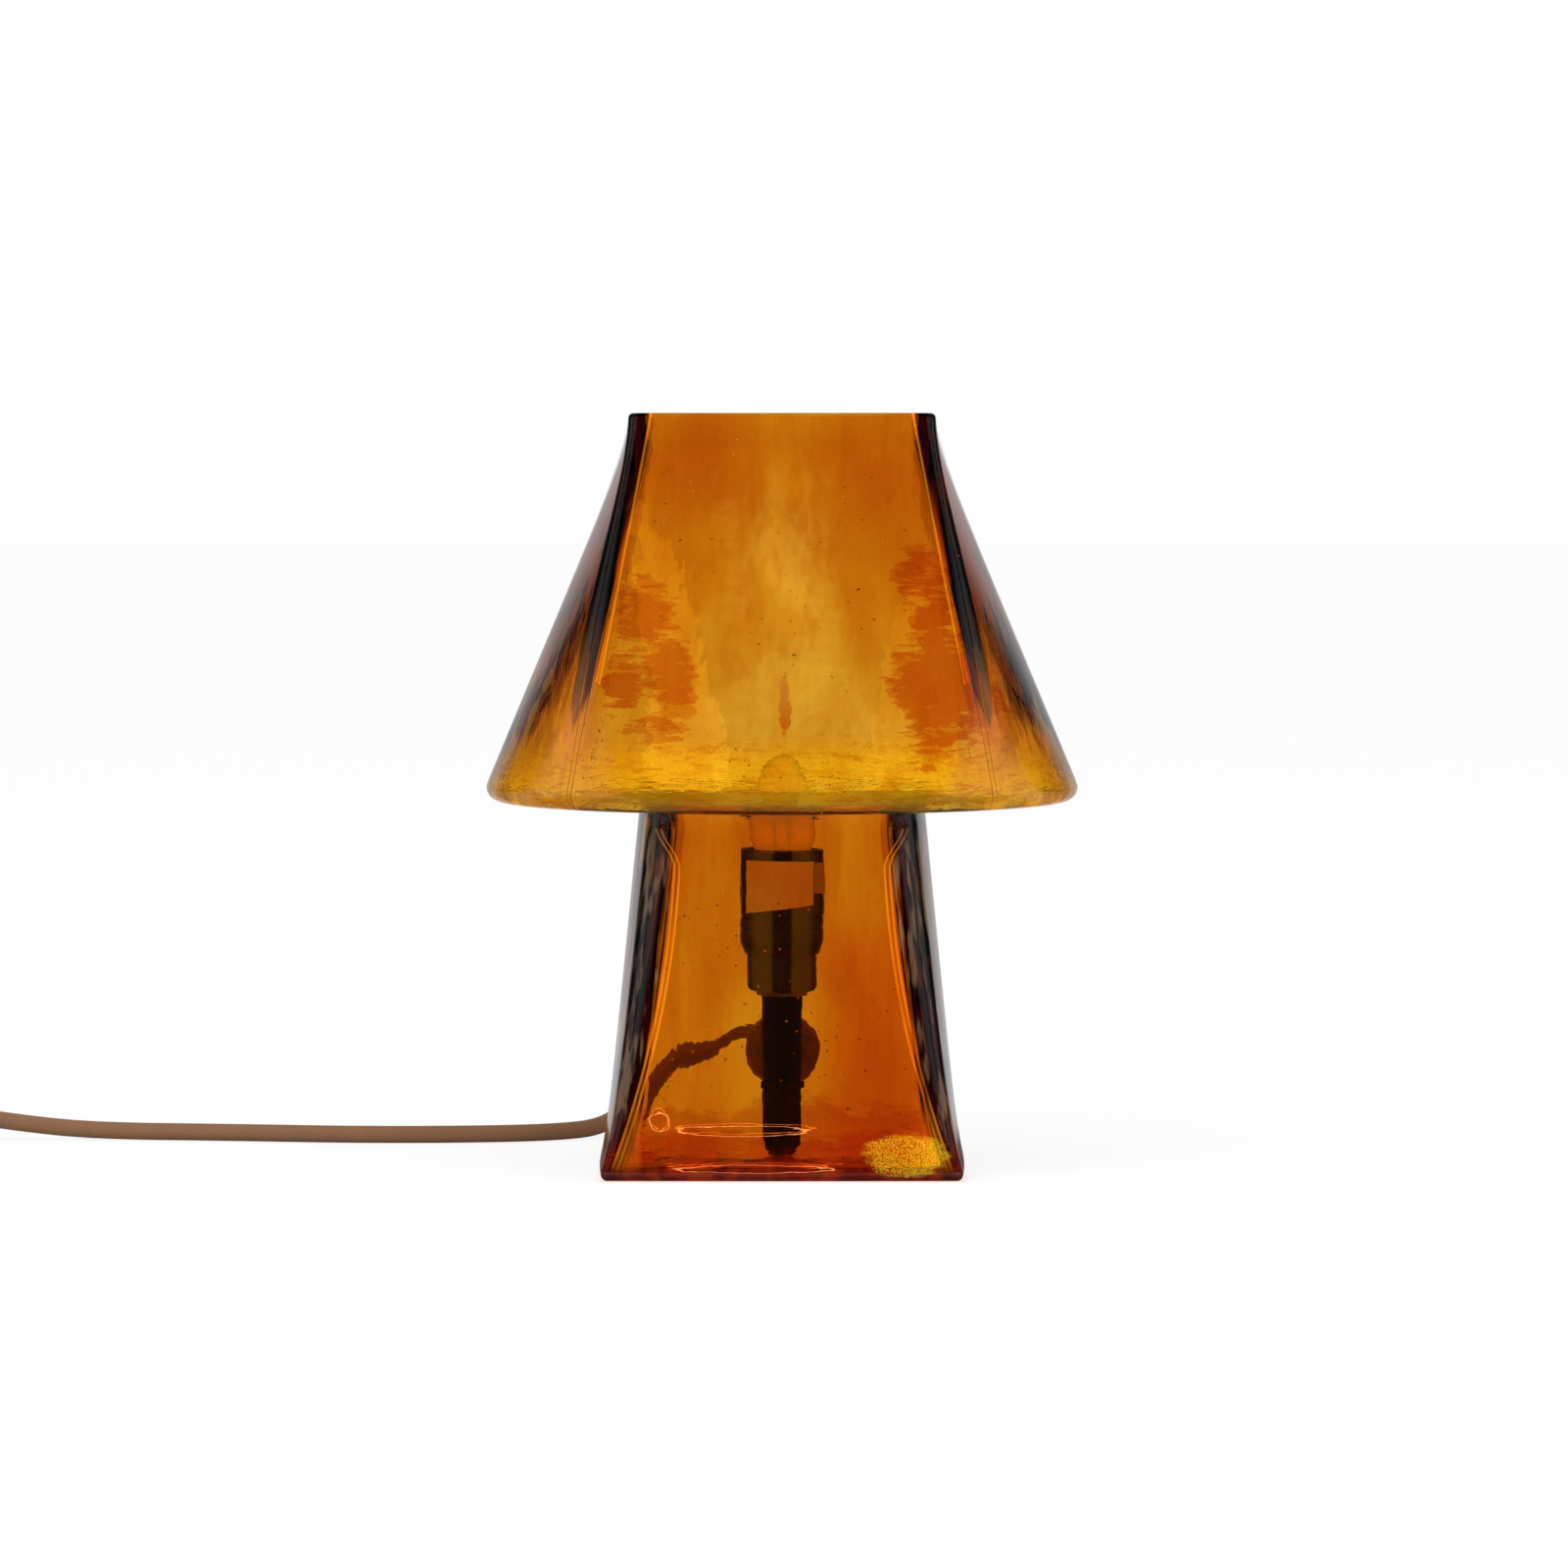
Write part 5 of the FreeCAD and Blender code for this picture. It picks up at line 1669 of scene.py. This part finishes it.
@dataclass
class SupplyCord(Assembly):
    """The brown cord: lamp to switch, then switch to coil to plug."""

    diameter: float = 6.0
    lamp_length: float = 0.336
    plug_length: float = 1.37
    lamp_route: tuple[Place, ...] = (
        (0.0, 83.7, 34.5), (0.0, 98.0, 34.7), (-6.2, 111.8, 35.6), (-17.0, 121.2, 36.4),
        (-29.8, 124.0, 32.8), (-40.6, 121.6, 24.6), (-49.0, 113.4, 15.6), (-55.6, 101.0, 8.2),
        (-64.0, 89.4, 3.6), (-78.5, 78.6, 3.0), (-104.0, 71.0, 3.0), (-146.0, 69.0, 3.0),
        (-194.0, 77.5, 3.0), (-236.0, 82.5, 3.0), (-260.0, 84.4, 4.6), (-278.0, 82.3, 7.5))
    switch_route: tuple[Place, ...] = (
        (-350.0, 82.3, 7.5), (-362.0, 76.5, 4.4), (-374.5, 63.0, 3.0), (-382.3, 45.0, 4.25))
    plug_route: tuple[Place, ...] = (
        (-374.8, -9.3, 10.85), (-370.9, -23.0, 9.6), (-370.0, -36.0, 8.4))
    coil_centre: tuple[float, float] = (-338.0, 18.0)
    coil_height: float = 4.25
    coil_mid_radius: float = 33.6
    coil_pitch: float = 6.6
    coil_turns: float = 24 / 4 + 20 / 360
    coil_start: float = 180.0
    turn_points: int = 14

    def coil_spot(self, turns: float) -> Place:
        """Place on the coil after so many turns: in on one layer, out on the next.

        Args:
            turns: Turns from its start.

        Returns:
            The place in millimetres.
        """
        inner = self.coil_mid_radius - self.coil_pitch * self.coil_turns / 4
        radius = inner + self.coil_pitch * abs(turns - self.coil_turns / 2)
        climb = min(max((turns - self.coil_turns / 2) * 2 + 0.5, 0.0), 1.0)
        rise = self.coil_pitch * (1 - math.cos(math.pi * climb)) / 2
        angle = math.radians(self.coil_start) + turns * FULL_TURN
        return (self.coil_centre[0] + radius * math.cos(angle),
                self.coil_centre[1] + radius * math.sin(angle), self.coil_height + rise)

    def lay(self, name: str, spots: Sequence[Place], *nodes: str) -> bpy.types.Object:
        """One smooth cord along its control points.

        Args:
            name: The cord's name.
            spots: Its control points in millimetres.
            *nodes: CAD nodes that it stands for.

        Returns:
            The cord.
        """
        curve = bpy.data.curves.new(name, "CURVE")
        curve.dimensions = "3D"
        spline = curve.splines.new("NURBS")
        spline.points.add(len(spots) - 1)
        for point, spot in zip(spline.points, spots):
            point.co = (*(value * MM for value in spot), 1.0)
        spline.order_u = 3
        spline.use_endpoint_u = True
        spline.resolution_u = 8
        curve.bevel_depth = self.diameter / 2 * MM
        curve.bevel_resolution = 6
        curve.use_fill_caps = True
        cord = bpy.data.objects.new(name, curve)
        bpy.context.scene.collection.objects.link(cord)
        return dress(cord, self.finishes.cord, "brown_cord", Body.LAMP, *nodes)

    def place(self) -> None:
        lead = self.lay("lamp_cord", self.lamp_route, "power_cord")
        turns = self.coil_turns
        count = round(turns * self.turn_points)
        coil = [self.coil_spot(turns * index / count) for index in range(count + 1)]
        rest = self.lay("plug_cord", (*self.switch_route, *coil, *self.plug_route),
                        "power_cord", "cord_coil")
        finishes = self.finishes
        self.paint({"coil_tie": finishes.tie, "switch_lower_shell": finishes.switch,
                    "switch_upper_shell": finishes.switch, "switch_rocker": finishes.rocker,
                    "switch_screws": finishes.steel, "switch_contacts": finishes.brass,
                    "switch_wires": finishes.wire, "plug_body": finishes.switch,
                    "plug_blades": finishes.brass})


# Studio

@dataclass
class Studio:
    """Camera, white table and backdrop, and soft light.

    What is seen straight through the glass is white. In reflections the studio is dim, but
    for a white card behind the lamp and a softer light at both sides.
    """

    lens: float = 170.0
    sensor: float = 36.0
    eye: Place = (0.66, -2500.0, 254.0)
    aim: Place = (0.66, 0.0, 128.7)
    lamp_aim: Place = (0.0, 0.0, 100.0)
    lamp_size: float = 0.8
    dim: float = 0.03
    soft: float = 0.85
    card_core: Span = (0.985, 0.999)
    card_halo: Span = (0.75, 0.95)
    halo_level: float = 0.45
    side_light: float = 0.5
    side_bearings: Span = (0.8, 0.97)
    after_mirror: Span = (0.25, 0.75)
    table_size: float = 24.0
    table_drop: float = 0.0002
    table_glow: float = 1.05
    table_share: float = 0.8
    table_back: Span = (0.06, 0.16)
    # Painted shadow: the table under the foot is tinted amber, as if lit only through the glass.
    through_glass: Colour = (0.8, 0.36, 0.06)
    under_foot: Span = (0.064, 0.05)

    def hang(self, name: str, data: bpy.types.ID, spot: Place, aim: Place) -> bpy.types.Object:
        """Puts a camera or a light in its place.

        Args:
            name: Its name.
            data: The camera or light.
            spot: Where it hangs, in millimetres.
            aim: Where it points, in millimetres.

        Returns:
            Its object.
        """
        made = bpy.data.objects.new(name, data)
        bpy.context.scene.collection.objects.link(made)
        made.location = Vector(spot) * MM
        toward = (Vector(aim) - Vector(spot)).normalized()
        made.rotation_mode = "QUATERNION"
        made.rotation_quaternion = toward.to_track_quat("-Z", "Y")
        return made

    def camera(self) -> None:
        """Sets up the camera at the photograph's angle."""
        data = bpy.data.cameras.new("camera")
        data.lens = self.lens
        data.sensor_width = self.sensor
        bpy.context.scene.camera = self.hang("camera", data, self.eye, self.aim)

    def lamp(self, name: str, spot: Place, watts: float) -> None:
        """Hangs one soft lamp.

        Args:
            name: Its name.
            spot: Where it hangs, in millimetres.
            watts: Its power.
        """
        data = bpy.data.lights.new(name, "AREA")
        data.shape = "SQUARE"
        data.size = self.lamp_size
        data.energy = watts
        self.hang(name, data, spot, self.lamp_aim).visible_glossy = False

    def rays(self, sheet: NodeSheet) -> tuple[Signal, Signal, Signal, Signal]:
        """What kind of ray looks at the table or the world.

        Args:
            sheet: The sheet that asks.

        Returns:
            1 for a ray from the camera, 1 in a reflection, 1 through something clear, and 1
            after any mirror reflection on the way.
        """
        path = sheet.node("ShaderNodeLightPath").outputs
        seen, glossy, through, mirrored = (Signal(sheet, path[name]) for name in (
            "Is Camera Ray", "Is Glossy Ray", "Is Transmission Ray", "Glossy Depth"))
        return seen, glossy, through, mirrored.step(*self.after_mirror)

    def backdrop(self, ahead: Signal, aside: Signal) -> Signal:
        """How white the studio looks in a reflection, by its bearing from the lamp.

        Args:
            ahead: Cosine of the bearing from straight behind the lamp.
            aside: Sine of it, without its sign.

        Returns:
            The level, 1 for white.
        """
        level = ahead.step(*self.card_core) * (1.0 - self.halo_level)
        level = level + ahead.step(*self.card_halo) * self.halo_level
        return (level + self.dim).at_least(aside.step(*self.side_bearings) * self.side_light)

    def floor(self) -> None:
        """Lays a large pale table that keeps the lamp's shadow, has a painted amber shadow under
        the foot, and is dim in reflections.
        """
        clear_selection()
        bpy.ops.mesh.primitive_plane_add(size=self.table_size, location=(0, 0, -self.table_drop))
        table = bpy.context.object
        table.name = "table_top"
        sheet = FinishSheet("table_white")
        matt = sheet.node("ShaderNodeBsdfDiffuse", None, {
            "Color": sheet.shades(sheet.noise(30.0, 4.0), scaled(WHITE, 0.8), scaled(WHITE, 0.78)),
            "Roughness": 0.5})
        seen, glossy, through, mirrored = self.rays(sheet)
        across, along = sheet.across, sheet.back
        away = (across * across + along * along + 0.0001).root()
        far = self.backdrop(along / away, across.size() / away) * along.step(*self.table_back)
        # Painted amber shadow under the foot.
        painted_amber_shade = across.size().at_least(along.size()).step(*self.under_foot)
        glow = sheet.node("ShaderNodeEmission", None, {
            "Color": sheet.shades(painted_amber_shade, WHITE, self.through_glass),
            "Strength": self.table_glow - mirrored * (self.table_glow - far)})
        share = seen.at_least(glossy).at_least(through) * self.table_share
        sheet.join(sheet.node("ShaderNodeMixShader", None,
                              {0: share, 1: matt.outputs[0], 2: glow.outputs[0]}))
        table.data.materials.append(sheet.material)

    def surround(self) -> None:
        """Makes the world: white behind the lamp, dimmer to the sides, plain light for the rest."""
        world = bpy.data.worlds.new("studio")
        bpy.context.scene.world = world
        world.use_nodes = True
        sheet = NodeSheet(world.node_tree, "ShaderNodeOutputWorld")
        direct, glossy, through, mirrored = self.rays(sheet)
        way = sheet.node("ShaderNodeTexCoord").outputs["Generated"]
        across, along, _ = sheet.node("ShaderNodeSeparateXYZ", None, {0: way}).outputs
        ahead, aside = Signal(sheet, along), Signal(sheet, across).size()
        clear = through.at_least(glossy)
        level = self.backdrop(ahead, aside) * mirrored + (1.0 - mirrored)
        level = level * clear + (1.0 - clear) * self.soft
        sheet.join(sheet.node("ShaderNodeBackground", None,
                              {"Color": WHITE, "Strength": level.at_least(direct)}))

    def build(self) -> None:
        """Sets up everything that isn't the lamp."""
        self.camera()
        self.floor()
        self.surround()
        self.lamp("key", (-900.0, -900.0, 1500.0), 9.0)
        self.lamp("fill", (1100.0, -700.0, 900.0), 5.0)
        bpy.context.scene.view_settings.view_transform = "Standard"


def main() -> None:
    """Builds the lamp, its cord and the studio in order."""
    logging.basicConfig(level=logging.INFO, format="%(name)s: %(message)s")
    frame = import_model()
    finishes = Finishes()
    for part in (GlassBody, Bulb, SocketStem, WallClamp, SupplyCord):
        part(frame["nodes"], finishes).place()
    Studio().build()
    LOG.info("sizes written")


if __name__ == "__main__":
    main()
